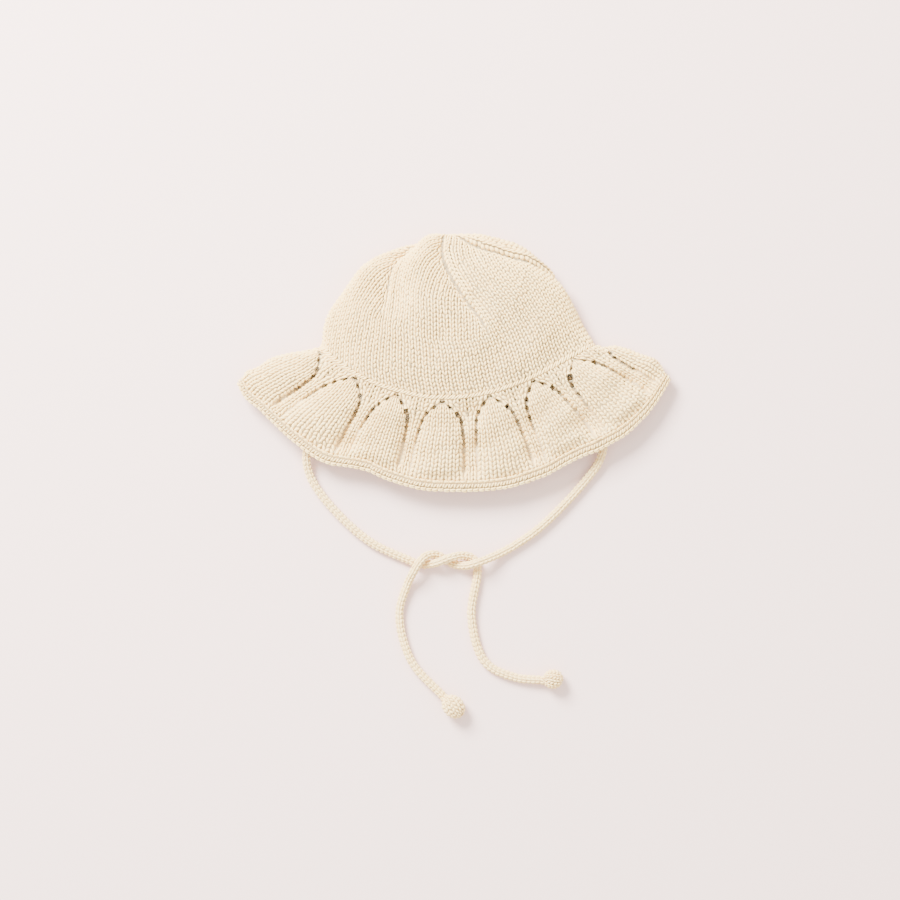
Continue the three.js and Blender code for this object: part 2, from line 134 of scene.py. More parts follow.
class Skin(Protocol):
    """A surface that yarn is laid on, addressed by across, down and rise."""

    def point(self, across: Array, down: Array, rise: Array) -> Array:
        """Give the points at these places.

        Args:
            across: places across the surface, in turns.
            down: places down the surface.
            rise: heights over the surface, in millimetres.

        Returns:
            The points, in millimetres.
        """


@dataclass(frozen=True)
class Course:
    """One row of the hat's sizes: where the front and back wall lie at a place down the fabric."""

    along: float
    front_y: float
    back_y: float
    top_z: float
    back_z: float
    bulge: float = 2.0
    squareness: float = 2.2
    lean: float = 0.0


@dataclass(frozen=True)
class Dent:
    """A slow wave in the fabric: its count around, its slant, where it starts and its height."""

    times: int
    slant: float
    start: float
    height: float


CROWN_COURSES = (
    Course(0.00, 93.5, 93.5, 9.0, 9.0),
    Course(0.03, 92.9, 92.9, 12.6, 5.4),
    Course(0.07, 90.1, 90.1, 16.6, 1.6),
    Course(0.15, 81.4, 80.4, 23.0, 0.0),
    Course(0.35, 57.5, 55.0, 33.0, 0.0, lean=1.0),
    Course(0.60, 24.6, 24.0, 37.5, 0.0, lean=3.0),
    Course(0.85, -7.6, -6.5, 35.5, 0.0, lean=5.2),
    Course(1.00, -25.8, -25.0, 31.0, 0.0, lean=6.0),
)
BRIM_COURSES = (
    Course(0.00, -25.8, -25.0, 31.0, 0.0, 2.0, 2.2, 6.0),
    Course(0.35, -49.8, -47.5, 25.5, 0.0, 2.2, 2.5, 3.6),
    Course(0.70, -73.8, -70.6, 20.5, 0.0, 2.4, 2.8, 1.2),
    Course(0.86, -84.6, -81.4, 18.8, 0.9, 2.5, 3.0, 0.4),
    Course(1.00, -93.6, -90.4, 17.6, 0.9, 2.6, 3.0, 0.0),
)
CROWN_SIDES = (
    (0.0, -5.0, -5.0), (0.05, -10.8, 6.2), (0.1, -16.4, 16.6), (0.2, -28.0, 30.0), (0.3, -41.0, 44.0),
    (0.4, -53.2, 56.6), (0.5, -64.4, 66.6), (0.6, -74.2, 75.2), (0.7, -82.6, 82.8), (0.8, -89.4, 89.6),
    (0.9, -94.2, 95.0), (1.0, -97.2, 101.2),
)
HEM_WAVE = (
    (0.0, 0.0), (0.02, -2.9), (0.055, 0.3), (0.13, 0.0), (0.185, -0.5), (0.21, 0.5), (0.24, 3.6),
    (0.27, 6.2), (0.30, 7.2), (0.33, 5.4), (0.37, 3.2), (0.41, 1.1), (0.45, 0.0), (0.62, 0.0),
    (0.68, 1.8), (0.72, 2.7), (0.76, 4.6), (0.80, 4.0), (0.83, 1.6), (0.86, -0.4), (0.885, -2.7),
    (0.92, -4.2), (0.96, -4.0), (1.0, 0.0),
)
DENTS = (
    Dent(7, 1.6, 0.4, 0.45),
    Dent(11, -2.3, 1.9, 0.38),
    Dent(5, 3.1, 4.2, 0.45),
    Dent(17, 2.2, 2.6, 0.2),
)


@dataclass
class HatFabric:
    """The hat's whole fabric as a surface: down runs 0 to 1 on the crown and 1 to 2 on the brim."""

    join_y: float = 12.6
    crown_depth: float = 80.9
    tip_z: float = 9.0
    fold_z: float = 8.5
    brim_length: float = 66.0
    hem_starts: float = 0.865
    front_share: float = 0.5115
    rib_reaches: tuple[float, ...] = (0.0, 0.3, 1.0)
    front_ribs: tuple[tuple[float, ...], ...] = (
        (0.0570, 0.0636, 0.0525),
        (0.1270, 0.1360, 0.1355),
        (0.1970, 0.2020, 0.2010),
        (0.2725, 0.2745, 0.2710),
        (0.3450, 0.3435, 0.3450),
        (0.4185, 0.4105, 0.4145),
        (0.4900, 0.4810, 0.4890),
    )
    back_ribs: int = 7
    sectors: int = 5
    fold_left: tuple[tuple[float, float], ...] = ((-97.2, 12.6), (-145.2, 3.2), (-157.2, -15.5))
    fold_right: tuple[tuple[float, float], ...] = ((101.2, 12.6), (145.0, 6.5), (157.0, -12.6))
    decrease_along: tuple[float, ...] = (0.0, 0.07, 0.155, 0.27, 0.36, 0.44, 0.51, 0.57, 0.65, 0.74, 1.0)
    decrease_turn: tuple[float, ...] = (
        0.120, 0.145, 0.178, 0.2235, 0.252, 0.273, 0.292, 0.305, 0.317, 0.326, 0.335,
    )
    lobe_height: float = 3.2
    ridge_height: float = 2.4
    ridge_place: float = 4.0
    ridge_width: float = 2.8
    crease_depth: float = 2.0
    crease_width: float = 1.5
    full_sector: float = 26.0
    least_sector: float = 0.1
    valley_depth: float = 6.0
    soft_line: float = 0.3
    petal_height: float = 3.2
    petal_power: float = 2.6
    rib_depth: float = 0.9
    rib_sag: float = 2.4
    groove_depth: float = 1.7
    fold_depth: float = 3.2
    groove_width: float = 0.028
    arch: tuple[tuple[float, float], ...] = (
        (0.0, 0.0), (0.04, 0.0), (0.075, 0.09), (0.11, 0.165), (0.155, 0.24), (0.20, 0.30),
        (0.25, 0.336), (0.305, 0.36), (0.43, 0.385), (0.56, 0.40), (1.0, 0.41),
    )
    back_rib_rise: float = 0.9
    corner_reach: float = 1.5
    corner_share: float = 0.8
    lean_power: int = 6
    wave_grows: tuple[float, float] = (0.1, 1.0)
    lies_flat: tuple[float, float] = (0.5, 7.0)
    gathers_start: tuple[float, float] = (0.02, 0.12)
    gathers_end: tuple[float, float] = (0.5, 0.72)
    lobe_power: float = 0.8
    valley_place: float = 0.012
    valley_width: float = 0.0425
    valley_starts: tuple[float, float] = (0.08, 0.25)
    dents_start: tuple[float, float] = (0.1, 0.3)
    dents_end: tuple[float, float] = (0.8, 1.0)
    petals_start: tuple[float, float] = (0.0, 0.22)
    petals_end: tuple[float, float] = (0.86, 1.0)
    groove_place: float = 0.008
    groove_starts: tuple[float, float] = (0.1, 0.4)
    groove_fades: tuple[float, float] = (0.5, 0.8)
    groove_fade: float = 0.8
    fold_ends: tuple[float, float] = (0.88, 0.98)
    sag_starts: tuple[float, float] = (0.35, 0.8)
    turns: int = 1560
    crown_rows: int = 240
    brim_rows: int = 110
    samples: int = 240
    downs: Array = field(init=False)
    rounds: Array = field(init=False)
    points: Array = field(init=False)
    normals: Array = field(init=False)

    def __post_init__(self) -> None:
        """Work the surface out once, on a fine grid."""
        crown = np.linspace(0, 1, self.crown_rows + 1)
        brim = np.linspace(1, 2, self.brim_rows + 1)[1:]
        self.downs = np.concatenate([crown, brim])
        turn = np.arange(self.turns) / self.turns
        rows = [self._round(down, turn) for down in self.downs]
        base = np.stack([row[0] for row in rows])
        self.rounds = np.array([row[1] for row in rows])
        plain = self._normals(base)
        grid_turn, grid_down = np.meshgrid(turn, self.downs)
        relief = self._relief(grid_turn, grid_down, base[..., 2])
        self.points = base + plain * relief[..., None]
        self.normals = self._normals(self.points)

    @property
    def repeats(self) -> int:
        """How many ribs, and as many petals, go around the brim."""
        return len(self.front_ribs) + self.back_ribs

    def decrease_line(self, along: Array | float) -> Array:
        """Give the turn of the middle decrease line at a place down the crown."""
        return curve_through(self.decrease_along, self.decrease_turn, along)

    def round_length(self, down: Array | float) -> Array:
        """Give the length of the round at a place down the fabric, in millimetres."""
        return np.interp(down, self.downs, self.rounds)

    def _sizes(self, down: float) -> dict[str, float | Array]:
        """Read the sizes of one round from the tables.

        Args:
            down: how far down the fabric the round is.

        Returns:
            The front's and back's sizes, the two folds' places and the share of the hem's wave.
        """
        courses = CROWN_COURSES if down <= 1 else BRIM_COURSES
        reach = down if down <= 1 else down - 1
        places = [c.along for c in courses]
        names = ("front_y", "back_y", "top_z", "back_z", "bulge", "squareness", "lean")
        sizes: dict[str, float | Array] = {
            name: float(curve_through(places, [getattr(c, name) for c in courses], reach))
            for name in names
        }
        sizes["back_z"] = max(float(sizes["back_z"]), 0.0)
        sizes["fold_z"] = self.tip_z + (self.fold_z - self.tip_z) * min(down, 1.0)
        if down <= 1:
            fold_y = self.join_y + self.crown_depth * math.cos(down * math.pi / 2)
            places, *sides = zip(*CROWN_SIDES)
            for name, side in zip(("left", "right"), sides):
                sizes[name] = np.array([float(curve_through(places, side, down)), fold_y])
            sizes["wave"] = 0.0
            return sizes
        for name, fold in (("left", self.fold_left), ("right", self.fold_right)):
            a, b, c = (np.array(p) for p in fold)
            sizes[name] = a * (1 - reach) ** 2 + b * 2 * reach * (1 - reach) + c * reach**2
        sizes["wave"] = float(smoothstep(reach, *self.wave_grows))
        return sizes

    def _round(self, down: float, turn: Array) -> tuple[Array, float]:
        """Place one round's points, evenly measured along its front and its back.

        Args:
            down: how far down the fabric the round is.
            turn: the places around it, 0 at the left fold.

        Returns:
            The points, and the round's whole length.
        """
        r = self._sizes(down)
        s = -np.cos(np.pi * np.arange(self.samples + 1) / self.samples)
        share = (s + 1) / 2
        left, right = r["left"], r["right"]
        half = max((right[0] - left[0]) / 2, 1e-6)
        x = left[0] + (right[0] - left[0]) * share
        wave = r["wave"] * curve_through(*zip(*HEM_WAVE), share)
        fold_y = left[1] + (right[1] - left[1]) * share + wave
        bow = 1 - np.abs(s) ** r["bulge"]
        dome = (1 - np.abs(s) ** r["squareness"]) ** (1 / r["squareness"])
        corner = max(min(self.corner_reach * r["fold_z"], self.corner_share * half), 1e-6)
        into = np.clip((np.abs(s) * half - (half - corner)) / corner, 0, 1)
        dip = np.sqrt(1 - into**2)
        flat_y = fold_y - wave
        front_y = fold_y + (r["front_y"] - flat_y) * bow + r["lean"] * s * (1 - s**self.lean_power)
        front_z = r["fold_z"] + (r["top_z"] - r["fold_z"]) * dome
        back_y = fold_y + (r["back_y"] - flat_y) * bow
        back_z = r["fold_z"] + (r["back_z"] - r["fold_z"]) * dip
        out = np.empty((len(turn), 3))
        on_front = turn < self.front_share
        places = {
            True: turn[on_front] / self.front_share,
            False: 1 - (turn[~on_front] - self.front_share) / (1 - self.front_share),
        }
        total = 0.0
        for is_front, line in (
            (True, np.stack([x, front_y, front_z], axis=1)),
            (False, np.stack([x, back_y, back_z], axis=1)),
        ):
            steps = np.linalg.norm(np.diff(line, axis=0), axis=1)
            lengths = np.concatenate([[0], np.cumsum(steps)])
            total += lengths[-1]
            mask = on_front if is_front else ~on_front
            wanted = places[is_front] * lengths[-1]
            if lengths[-1] < 1e-4:
                out[mask] = line[0]
                continue
            out[mask] = np.stack([np.interp(wanted, lengths, line[:, k]) for k in range(3)], axis=1)
        return out, total

    def _normals(self, grid: Array) -> Array:
        """Find the outward normals of a grid of points that closes on itself across.

        Args:
            grid: the points, by row down and place around.

        Returns:
            One normal for each point.
        """
        wrapped = np.concatenate([grid[:, -2:], grid, grid[:, :2]], axis=1)
        across = (wrapped[:, 4:] - wrapped[:, :-4])
        down = np.gradient(grid, axis=0)
        normals = unit(np.cross(down, across))
        normals[0] = (0, 1, 0)
        return normals

    def _relief(self, turn: Array, down: Array, height: Array) -> Array:
        """Add the crown's and the brim's relief, less where the hat lies flat.

        Args:
            turn: places around the hat.
            down: places down the fabric.
            height: heights over the floor before the relief, in millimetres.

        Returns:
            How far each point is raised, in millimetres.
        """
        raised = smoothstep(height, *self.lies_flat)
        crown = raised * (self._crown_relief(turn, np.minimum(down, 1)) + self._dents(turn, down))
        brim = self._brim_relief(turn, np.maximum(down - 1, 0), raised)
        return np.where(down < 1, crown, brim)

    def _crown_relief(self, turn: Array, along: Array) -> Array:
        """Shape the lobes, ridges and the dent between the decrease lines.

        Args:
            turn: places around the hat.
            along: places down the crown.

        Returns:
            The relief, in millimetres.
        """
        line = self.decrease_line(along)
        off = turn - line
        sector = (off - np.round(off)) * self.sectors
        place = sector - np.floor(sector)
        gathered = smoothstep(along, *self.gathers_start) * (1 - smoothstep(along, *self.gathers_end))
        lobe = self.lobe_height * (np.sin(np.pi * place) ** self.lobe_power - 0.5)
        width = np.maximum(self.round_length(along) / self.sectors, self.least_sector)
        scale = np.minimum(width / self.full_sector, 1.0)
        beside, near = place * width / scale, np.minimum(place, 1 - place) * width / scale
        ridge = np.where(np.floor(sector) == -1, self.soft_line, 1.0) * self.ridge_height * scale**2
        ridge *= np.exp(-(((beside - self.ridge_place) / self.ridge_width) ** 2))
        crease = np.where(np.round(sector) == -1, self.soft_line, 1.0) * -self.crease_depth * scale
        crease *= np.exp(-((near / self.crease_width) ** 2))
        off = turn - (line - 1 / self.sectors + self.valley_place)
        off = (off - np.round(off)) / self.valley_width
        valley = -self.valley_depth * np.exp(-(off**2)) * smoothstep(along, *self.valley_starts)
        return gathered * (lobe + valley + ridge + crease)

    def _dents(self, turn: Array, down: Array) -> Array:
        """Add the slight unevenness of a hat that was put down by hand.

        Args:
            turn: places around the hat.
            down: places down the fabric.

        Returns:
            The relief, in millimetres.
        """
        total = np.zeros_like(turn)
        for dent in DENTS:
            angle = 2 * np.pi * (dent.times * turn + dent.slant * down) + dent.start
            total += dent.height * np.sin(angle)
        return total * smoothstep(down, *self.dents_start)

    def ribs(self, reach: Array) -> Array:
        """Give the turns of every rib, and of the first one again, at places down the brim.

        Args:
            reach: places down the brim, 0 at the join and 1 at the hem.

        Returns:
            The turns, rising, with the ribs in the last direction.
        """
        front = np.array(self.front_ribs)
        spaces = self.back_ribs + 1
        back = front[-1] + (front[0] + 1 - front[-1]) * np.arange(1, spaces + 1)[:, None] / spaces
        tables = np.concatenate([front, back])
        return np.stack([curve_through(self.rib_reaches, row, reach) for row in tables], axis=-1)

    def repeat_place(self, turn: Array, reach: Array) -> tuple[Array, Array]:
        """Find which repeat a place is in, and where in it.

        Args:
            turn: places around the hat.
            reach: places down the brim.

        Returns:
            The repeat's number, and the place in it, 0 at its rib's middle and 0.5 at its petal's.
        """
        ribs = self.ribs(reach)
        wrapped = (turn - ribs[..., 0]) % 1.0 + ribs[..., 0]
        number = np.sum(wrapped[..., None] >= ribs[..., 1:-1], axis=-1)
        start = np.take_along_axis(ribs, number[..., None], axis=-1)[..., 0]
        end = np.take_along_axis(ribs, number[..., None] + 1, axis=-1)[..., 0]
        return number, (wrapped - start) / (end - start)

    def turn_in_repeat(self, number: Array, place: Array, reach: Array) -> Array:
        """Give the turn of a place in a repeat; the reverse of repeat_place.

        Args:
            number: the repeat's number.
            place: the place in it, 0 at its rib's middle.
            reach: the place down the brim.

        Returns:
            The turn around the hat.
        """
        ribs = self.ribs(reach)
        start = np.take_along_axis(ribs, number[..., None], axis=-1)[..., 0]
        end = np.take_along_axis(ribs, number[..., None] + 1, axis=-1)[..., 0]
        return start + place * (end - start)

    def arch_half(self, reach: Array) -> Array:
        """Give half the width of the arch over a petal, as a share of a repeat."""
        return np.maximum(curve_through(*zip(*self.arch), reach), 0.0)

    def _brim_relief(self, turn: Array, along: Array, raised: Array) -> Array:
        """Shape the petals between their arches and the ribs that sink between them.

        Args:
            turn: places around the hat.
            along: places down the brim, to its edge.
            raised: how far each place is from lying flat, 0 to 1.

        Returns:
            The relief, in millimetres.
        """
        reach = along / self.hem_starts
        _, place = self.repeat_place(turn, np.minimum(reach, 1.0))
        half = np.maximum(self.arch_half(reach), 0.001)
        out = np.abs(place - 0.5) / half
        petal = np.where(out < 1, 1 - np.minimum(out, 1) ** self.petal_power, 0)
        alive = smoothstep(reach, *self.petals_start) * (1 - smoothstep(reach, *self.petals_end))
        gap = (np.abs(place - 0.5) - half - self.groove_place) / self.groove_width
        fold = self.fold_depth * (1 - smoothstep(reach, *self.fold_ends))
        soft = self.groove_depth * (1 - self.groove_fade * smoothstep(reach, *self.groove_fades))
        groove = np.exp(-(gap**2)) * smoothstep(reach, *self.groove_starts)
        groove *= np.where(place > 0.5, fold, soft)
        rib = self.rib_depth + self.rib_sag * smoothstep(reach, *self.sag_starts)
        front = petal * (self.petal_height + rib) - rib - groove
        back = (petal - 1) * self.back_rib_rise
        dents = self._dents(turn, along + 1) * raised
        return alive * (back + (front - back) * raised) + dents * (1 - smoothstep(reach, *self.dents_end))

    def point(self, across: Array, down: Array, rise: Array) -> Array:
        """Give points on the fabric.

        Args:
            across: turns around the hat.
            down: places down the fabric, 0 to 2.
            rise: heights over the fabric's outer face, in millimetres.

        Returns:
            The points, in millimetres.
        """
        turn = (np.asarray(across) % 1.0) * self.turns
        i0 = np.floor(turn).astype(int)
        fx = (turn - i0)[..., None]
        i0 %= self.turns
        i1 = (i0 + 1) % self.turns
        row = np.interp(down, self.downs, np.arange(len(self.downs)))
        j0 = np.minimum(np.floor(row).astype(int), len(self.downs) - 2)
        fy = (row - j0)[..., None]
        j1 = j0 + 1

        def blend(table: Array) -> Array:
            """Mix a table's four nearest entries."""
            top = table[j0, i0] * (1 - fx) + table[j0, i1] * fx
            bottom = table[j1, i0] * (1 - fx) + table[j1, i1] * fx
            return top * (1 - fy) + bottom * fy

        return blend(self.points) + unit(blend(self.normals)) * np.asarray(rise)[..., None]


@dataclass(frozen=True)
class Slit:
    """A hole of every repeat: how far down it is, its half sizes, and where in the repeat it is.

    It lies on the arch, or where beside is given, that share of the repeat from the petal's middle.
    """

    reach: float
    half_long: float
    half_wide: float
    beside: float | None = None


@dataclass
class Eyelets:
    """The arches of slits, which push the stitches around them aside."""

    fabric: HatFabric
    seed: int = 5
    slits: tuple[Slit, ...] = (
        Slit(0.045, 3.3, 0.66),
        Slit(0.110, 2.7, 0.64),
        Slit(0.205, 2.5, 0.70),
        Slit(0.305, 2.7, 0.66),
        Slit(0.430, 2.9, 0.48),
        Slit(0.555, 2.6, 0.28),
        Slit(0.038, 0.8, 0.60, 0.5),
        Slit(0.100, 0.9, 0.66, 0.5),
        Slit(0.160, 1.0, 0.70, 0.5),
        Slit(0.225, 0.9, 0.58, 0.5),
        Slit(0.040, 0.8, 0.60, 0.36),
    )
    stretched: tuple[tuple[int, int, int, float], ...] = (
        (5, 2, -1, 2.3), (4, 2, 1, 1.5), (1, 2, 1, 1.5), (1, 3, 1, 1.5), (2, 2, 1, 1.3), (6, 2, 1, 0.9),
    )
    least_size: float = 0.75
    size_spread: float = 0.45
    lean_step: float = 0.02
    push_fades: tuple[float, float] = (2.0, 6.0)
    sizes: Array = field(init=False)
    leans: list[float] = field(init=False)

    def __post_init__(self) -> None:
        """Give each slit its own size and the arch's own lean."""
        rng = np.random.default_rng(self.seed)
        spread = rng.random((self.fabric.repeats, len(self.slits), 2))
        self.sizes = self.least_size + self.size_spread * spread
        self.sizes[:, [slit.beside is not None for slit in self.slits]] = 1.0
        for repeat, slit, side, size in self.stretched:
            self.sizes[repeat, slit, (side + 1) // 2] = size
        self.leans = []
        ends = np.array([-self.lean_step, self.lean_step])
        drop = 2 * self.lean_step * self.fabric.hem_starts * self.fabric.brim_length
        for slit in self.slits:
            width = self.fabric.round_length(1 + slit.reach * self.fabric.hem_starts) / self.fabric.repeats
            before, after = self.fabric.arch_half(slit.reach + ends)
            along_arch = math.atan2(drop, float((after - before) * width))
            self.leans.append(along_arch if slit.beside is None else math.pi / 2)
        self.leans[0] = 0.0

    def locate(self, turn: Array, down: Array) -> tuple[Array, Array, Array, Array]:
        """Find how deep in a slit each place is, and the way out of it.

        Args:
            turn: places around the hat.
            down: places down the fabric.

        Returns:
            The nearest slit's distance (1 on its rim), the clearance to it in millimetres, and the
            push out of it in turn and down.
        """
        fabric = self.fabric
        reach = (down - 1) / fabric.hem_starts
        number, place = fabric.repeat_place(turn, np.clip(reach, 0, 1))
        width = fabric.round_length(down) / fabric.repeats
        height = fabric.brim_length * fabric.hem_starts
        nearest = np.full(np.shape(turn), FAR)
        clearance = np.full(np.shape(turn), FAR)
        push_turn = np.zeros(np.shape(turn))
        push_down = np.zeros(np.shape(turn))
        for k, slit in enumerate(self.slits):
            half = float(fabric.arch_half(np.array(slit.reach))) if slit.beside is None else slit.beside
            for side in (-1, 1) if k else (1,):
                size = self.sizes[number, k, (side + 1) // 2]
                dx = (place - 0.5 - side * half) * width
                dy = (reach - slit.reach) * height
                cos, sin = math.cos(self.leans[k]), side * math.sin(self.leans[k])
                long, wide = dx * cos + dy * sin, -dx * sin + dy * cos
                half_long, half_wide = slit.half_long * np.sqrt(size), slit.half_wide * size
                p, q = long / half_long, wide / half_wide
                open_here = np.maximum(1 - p**2, 0) * (1 - smoothstep(np.abs(q), *self.push_fades))
                moved = (np.sqrt(q**2 + open_here) - np.abs(q)) * half_wide * np.where(q < 0, -1, 1)
                push_turn += -moved * sin / width / fabric.repeats
                push_down += moved * cos / fabric.brim_length
                nearest = np.minimum(nearest, np.sqrt(p**2 + q**2))
                edge = np.maximum(np.abs(long) - half_long, np.abs(wide) - half_wide)
                clearance = np.minimum(clearance, edge)
        return nearest, clearance, push_turn, push_down

    def spread_out(self, turn: Array, down: Array) -> tuple[Array, Array]:
        """Move places out of the slits, as the yarn around each one is.

        Args:
            turn: places around the hat.
            down: places down the fabric.

        Returns:
            The moved turns and places down.
        """
        _, _, push_turn, push_down = self.locate(turn, down)
        return turn + push_turn, down + push_down


@dataclass
class PiercedFabric:
    """The brim's fabric with its eyelets opened."""

    fabric: HatFabric
    eyelets: Eyelets
    open_share: float = 0.75

    def point(self, across: Array, down: Array, rise: Array) -> Array:
        """Give points on the fabric, moved out of the eyelets.

        Args:
            across: turns around the hat.
            down: places down the fabric.
            rise: heights over the fabric's outer face, in millimetres.

        Returns:
            The points, in millimetres.
        """
        turn, place = self.eyelets.spread_out(across, down)
        return self.fabric.point(turn, place, rise)

    def is_open(self, places: Array) -> Array:
        """Tell which places lie in the middle of an eyelet, where no yarn can cross.

        Args:
            places: places as (across, down).

        Returns:
            True for each open place.
        """
        depth, _, _, _ = self.eyelets.locate(places[:, 0], places[:, 1])
        return depth < self.open_share


@dataclass
class HemRoll:
    """The rolled hem's surface: down runs 0 to 1 around its section, from the top to underneath."""

    fabric: HatFabric
    section: tuple[tuple[float, float, float], ...] = (
        (0.00, 0.862, -0.9),
        (0.06, 0.869, 0.3),
        (0.12, 0.881, 0.3),
        (0.17, 0.889, -1.1),
        (0.24, 0.900, 0.2),
        (0.34, 0.925, 0.5),
        (0.44, 0.948, 0.2),
        (0.49, 0.957, -0.8),
        (0.55, 0.965, 0.2),
        (0.64, 0.986, 0.1),
        (0.70, 0.996, -0.7),
        (0.76, 0.990, -1.9),
        (0.88, 0.945, -3.1),
        (1.00, 0.880, -2.9),
    )
    middle_along: float = 0.94
    middle_depth: float = 1.3
    roundness: float = 0.55

    def point(self, across: Array, down: Array, rise: Array) -> Array:
        """Give points around the roll, raised away from its middle.

        Args:
            across: turns around the hat.
            down: places around the roll's section.
            rise: heights over the roll, in millimetres.

        Returns:
            The points, in millimetres.
        """
        places = [row[0] for row in self.section]
        along = curve_through(places, [row[1] for row in self.section], down)
        height = curve_through(places, [row[2] for row in self.section], down)
        out_along = (along - self.middle_along) * self.fabric.brim_length * self.roundness
        out_height = height + self.middle_depth
        size = np.sqrt(out_along**2 + out_height**2) + 1e-6
        along = along + rise * out_along / size / self.fabric.brim_length
        height = height + rise * out_height / size
        return self.fabric.point(across, 1 + along, height)


@dataclass
class CordForm:
    """A round cord along a route: across is the turn around it, down the share of its length."""

    route: Array
    radius: float
    lengths: Array = field(init=False)
    frames: tuple[Array, Array] = field(init=False)

    def __post_init__(self) -> None:
        """Carry one frame along the route without twisting it."""
        steps = np.linalg.norm(np.diff(self.route, axis=0), axis=1)
        self.lengths = np.concatenate([[0], np.cumsum(steps)])
        tangents = unit(np.gradient(self.route, axis=0))
        side = unit(np.cross(tangents[0], (0, 0, 1)))
        sides = [side]
        for tangent in tangents[1:]:
            side = unit(side - tangent * np.dot(side, tangent))
            sides.append(side)
        sides_array = np.array(sides)
        self.frames = (sides_array, unit(np.cross(tangents, sides_array)))

    def point(self, across: Array, down: Array, rise: Array) -> Array:
        """Give points around the cord.

        Args:
            across: turns around the cord.
            down: shares of its length.
            rise: heights over its face, in millimetres.

        Returns:
            The points, in millimetres.
        """
        wanted = np.clip(down, 0, 1) * self.lengths[-1]

        def along(table: Array) -> Array:
            """Read a table of points at the wanted lengths."""
            return np.stack([np.interp(wanted, self.lengths, table[:, k]) for k in range(3)], axis=-1)

        angle = 2 * np.pi * across
        side, top = (along(frame) for frame in self.frames)
        out = side * np.cos(angle)[..., None] + top * np.sin(angle)[..., None]
        return along(self.route) + unit(out) * (self.radius + rise)[..., None]


@dataclass
class BallForm:
    """A bobble: across is the turn around its long axis, down runs 0 to 1 from pole to pole."""

    centre: tuple[float, float, float]
    half_long: float
    half_wide: float
    angle: float

    def point(self, across: Array, down: Array, rise: Array) -> Array:
        """Give points on the ball.

        Args:
            across: turns around its long axis.
            down: places from pole to pole.
            rise: heights over its face, in millimetres.

        Returns:
            The points, in millimetres.
        """
        pole = np.pi * np.clip(down, 0.0, 1.0)
        turn = 2 * np.pi * across
        long = (self.half_long + rise) * np.cos(pole)
        ring = (self.half_wide + rise) * np.sin(pole)
        local = np.stack([-long, ring * np.cos(turn), ring * np.sin(turn)], axis=-1)
        cos, sin = math.cos(math.radians(self.angle)), math.sin(math.radians(self.angle))
        x = local[..., 0] * cos - local[..., 1] * sin
        y = local[..., 0] * sin + local[..., 1] * cos
        return np.stack([x, y, local[..., 2]], axis=-1) + np.array(self.centre)


class StitchKind(Enum):
    """How a stitch's two legs lie in its cell."""

    KNIT = "legs open down the fabric"
    CHAIN = "legs open along the edge"


@dataclass
class Stitch:
    """The two yarn legs of one stitch, in shares of its cell and millimetres of rise."""

    kind: StitchKind = StitchKind.KNIT
    across_segments: int = 4
    along_segments: int = 5
    depth: float = 1.45
    thickness: float = 1.3
    half_width: float = 0.155
    apex: float = 0.115
    opening: float = 0.30
    dive: float = 0.75
    # end_shade, shade_ends, side_shade and side_power set the painted shade: how far a leg's tone darkens at
    # its ends and at its sides.
    end_shade: float = 0.20
    starts: float = -0.16
    length: float = 1.28
    tilt: float = 0.12
    thin_end: float = 0.35
    plump_length: float = 1.06
    plump_start: float = 0.03
    plump_power: float = 0.55
    dive_ends: tuple[float, float] = (0.3, 0.72)
    shade_ends: tuple[float, float] = (0.3, 0.75)
    side_shade: float = 0.34
    side_power: float = 1.3
    yarn_length: float = 5.0
    yarn_apart: float = 2.3
    yarn_around: float = 1.1
    places: Array = field(init=False)
    rises: Array = field(init=False)
    yarn: Array = field(init=False)
    shade: Array = field(init=False)
    faces: Array = field(init=False)

    def __post_init__(self) -> None:
        """Shape both legs from two flat grids."""
        form = bmesh.new()
        bmesh.ops.create_grid(
            form, x_segments=self.across_segments, y_segments=self.along_segments, size=0.5
        )
        flat = np.array([v.co[:2] for v in form.verts])
        quads = np.array([[v.index for v in face.verts] for face in form.faces])
        form.free()
        legs = [self._leg(flat, side) for side in (-1, 1)]
        self.places, self.rises, self.yarn, self.shade = (np.concatenate(part) for part in zip(*legs))
        self.faces = np.concatenate([quads, quads + len(flat)])
        if self.kind is StitchKind.CHAIN:
            self.places = self.places[:, ::-1]

    def _leg(self, flat: Array, side: int) -> tuple[Array, Array, Array, Array]:
        """Bend one flat grid into a leg.

        Args:
            flat: the grid's points, -0.5 to 0.5 both ways.
            side: -1 for the left leg and 1 for the right one.

        Returns:
            Places in the cell, rises, places along and around the yarn in millimetres, and the painted
            shade, darker at the leg's sides and ends.
        """
        s = flat[:, 1] + 0.5
        angle = (flat[:, 0] + 0.5) * np.pi
        out = -np.cos(angle)
        up = np.sin(angle)
        share = np.clip(s * self.plump_length - self.plump_start, 0, 1)
        rounded = np.sin(np.pi * share) ** self.plump_power
        plump = self.thin_end + (1 - self.thin_end) * rounded
        middle = 0.5 + side * (self.apex + self.opening * s)
        down = self.starts + self.length * s - side * out * self.tilt * plump
        places = np.stack([middle + out * self.half_width * plump, down], axis=1)
        first, last = self.dive_ends
        dive = -self.dive * (1 - smoothstep(s, 0, first) + smoothstep(s, last, 1.0))
        rises = -self.depth + dive + up * self.thickness * plump
        yarn_start = self.yarn_apart if side > 0 else 0.0
        yarn = np.stack([s * self.yarn_length + yarn_start, angle * self.yarn_around], axis=1)
        # Painted shade: the tone darkens towards the leg's sides and its two ends, where it dives under the
        # legs beside it.
        first, last = self.shade_ends
        ends = smoothstep(s, 0, first) * (1 - smoothstep(s, last, 1.0))
        shade = -self.side_shade * (1 - up) ** self.side_power - self.end_shade * (1 - ends)
        return places, rises, yarn, shade


@dataclass(frozen=True)
class YarnColour:
    """A cotton yarn's colours: its own, the paler tips of its fibres, and a dark colour that is painted
    shade in the gaps between stitches, on the cores under them, around the slits and at the legs' sides and
    ends.
    """

    body: tuple[float, float, float]
    pale: tuple[float, float, float]
    dark: tuple[float, float, float]
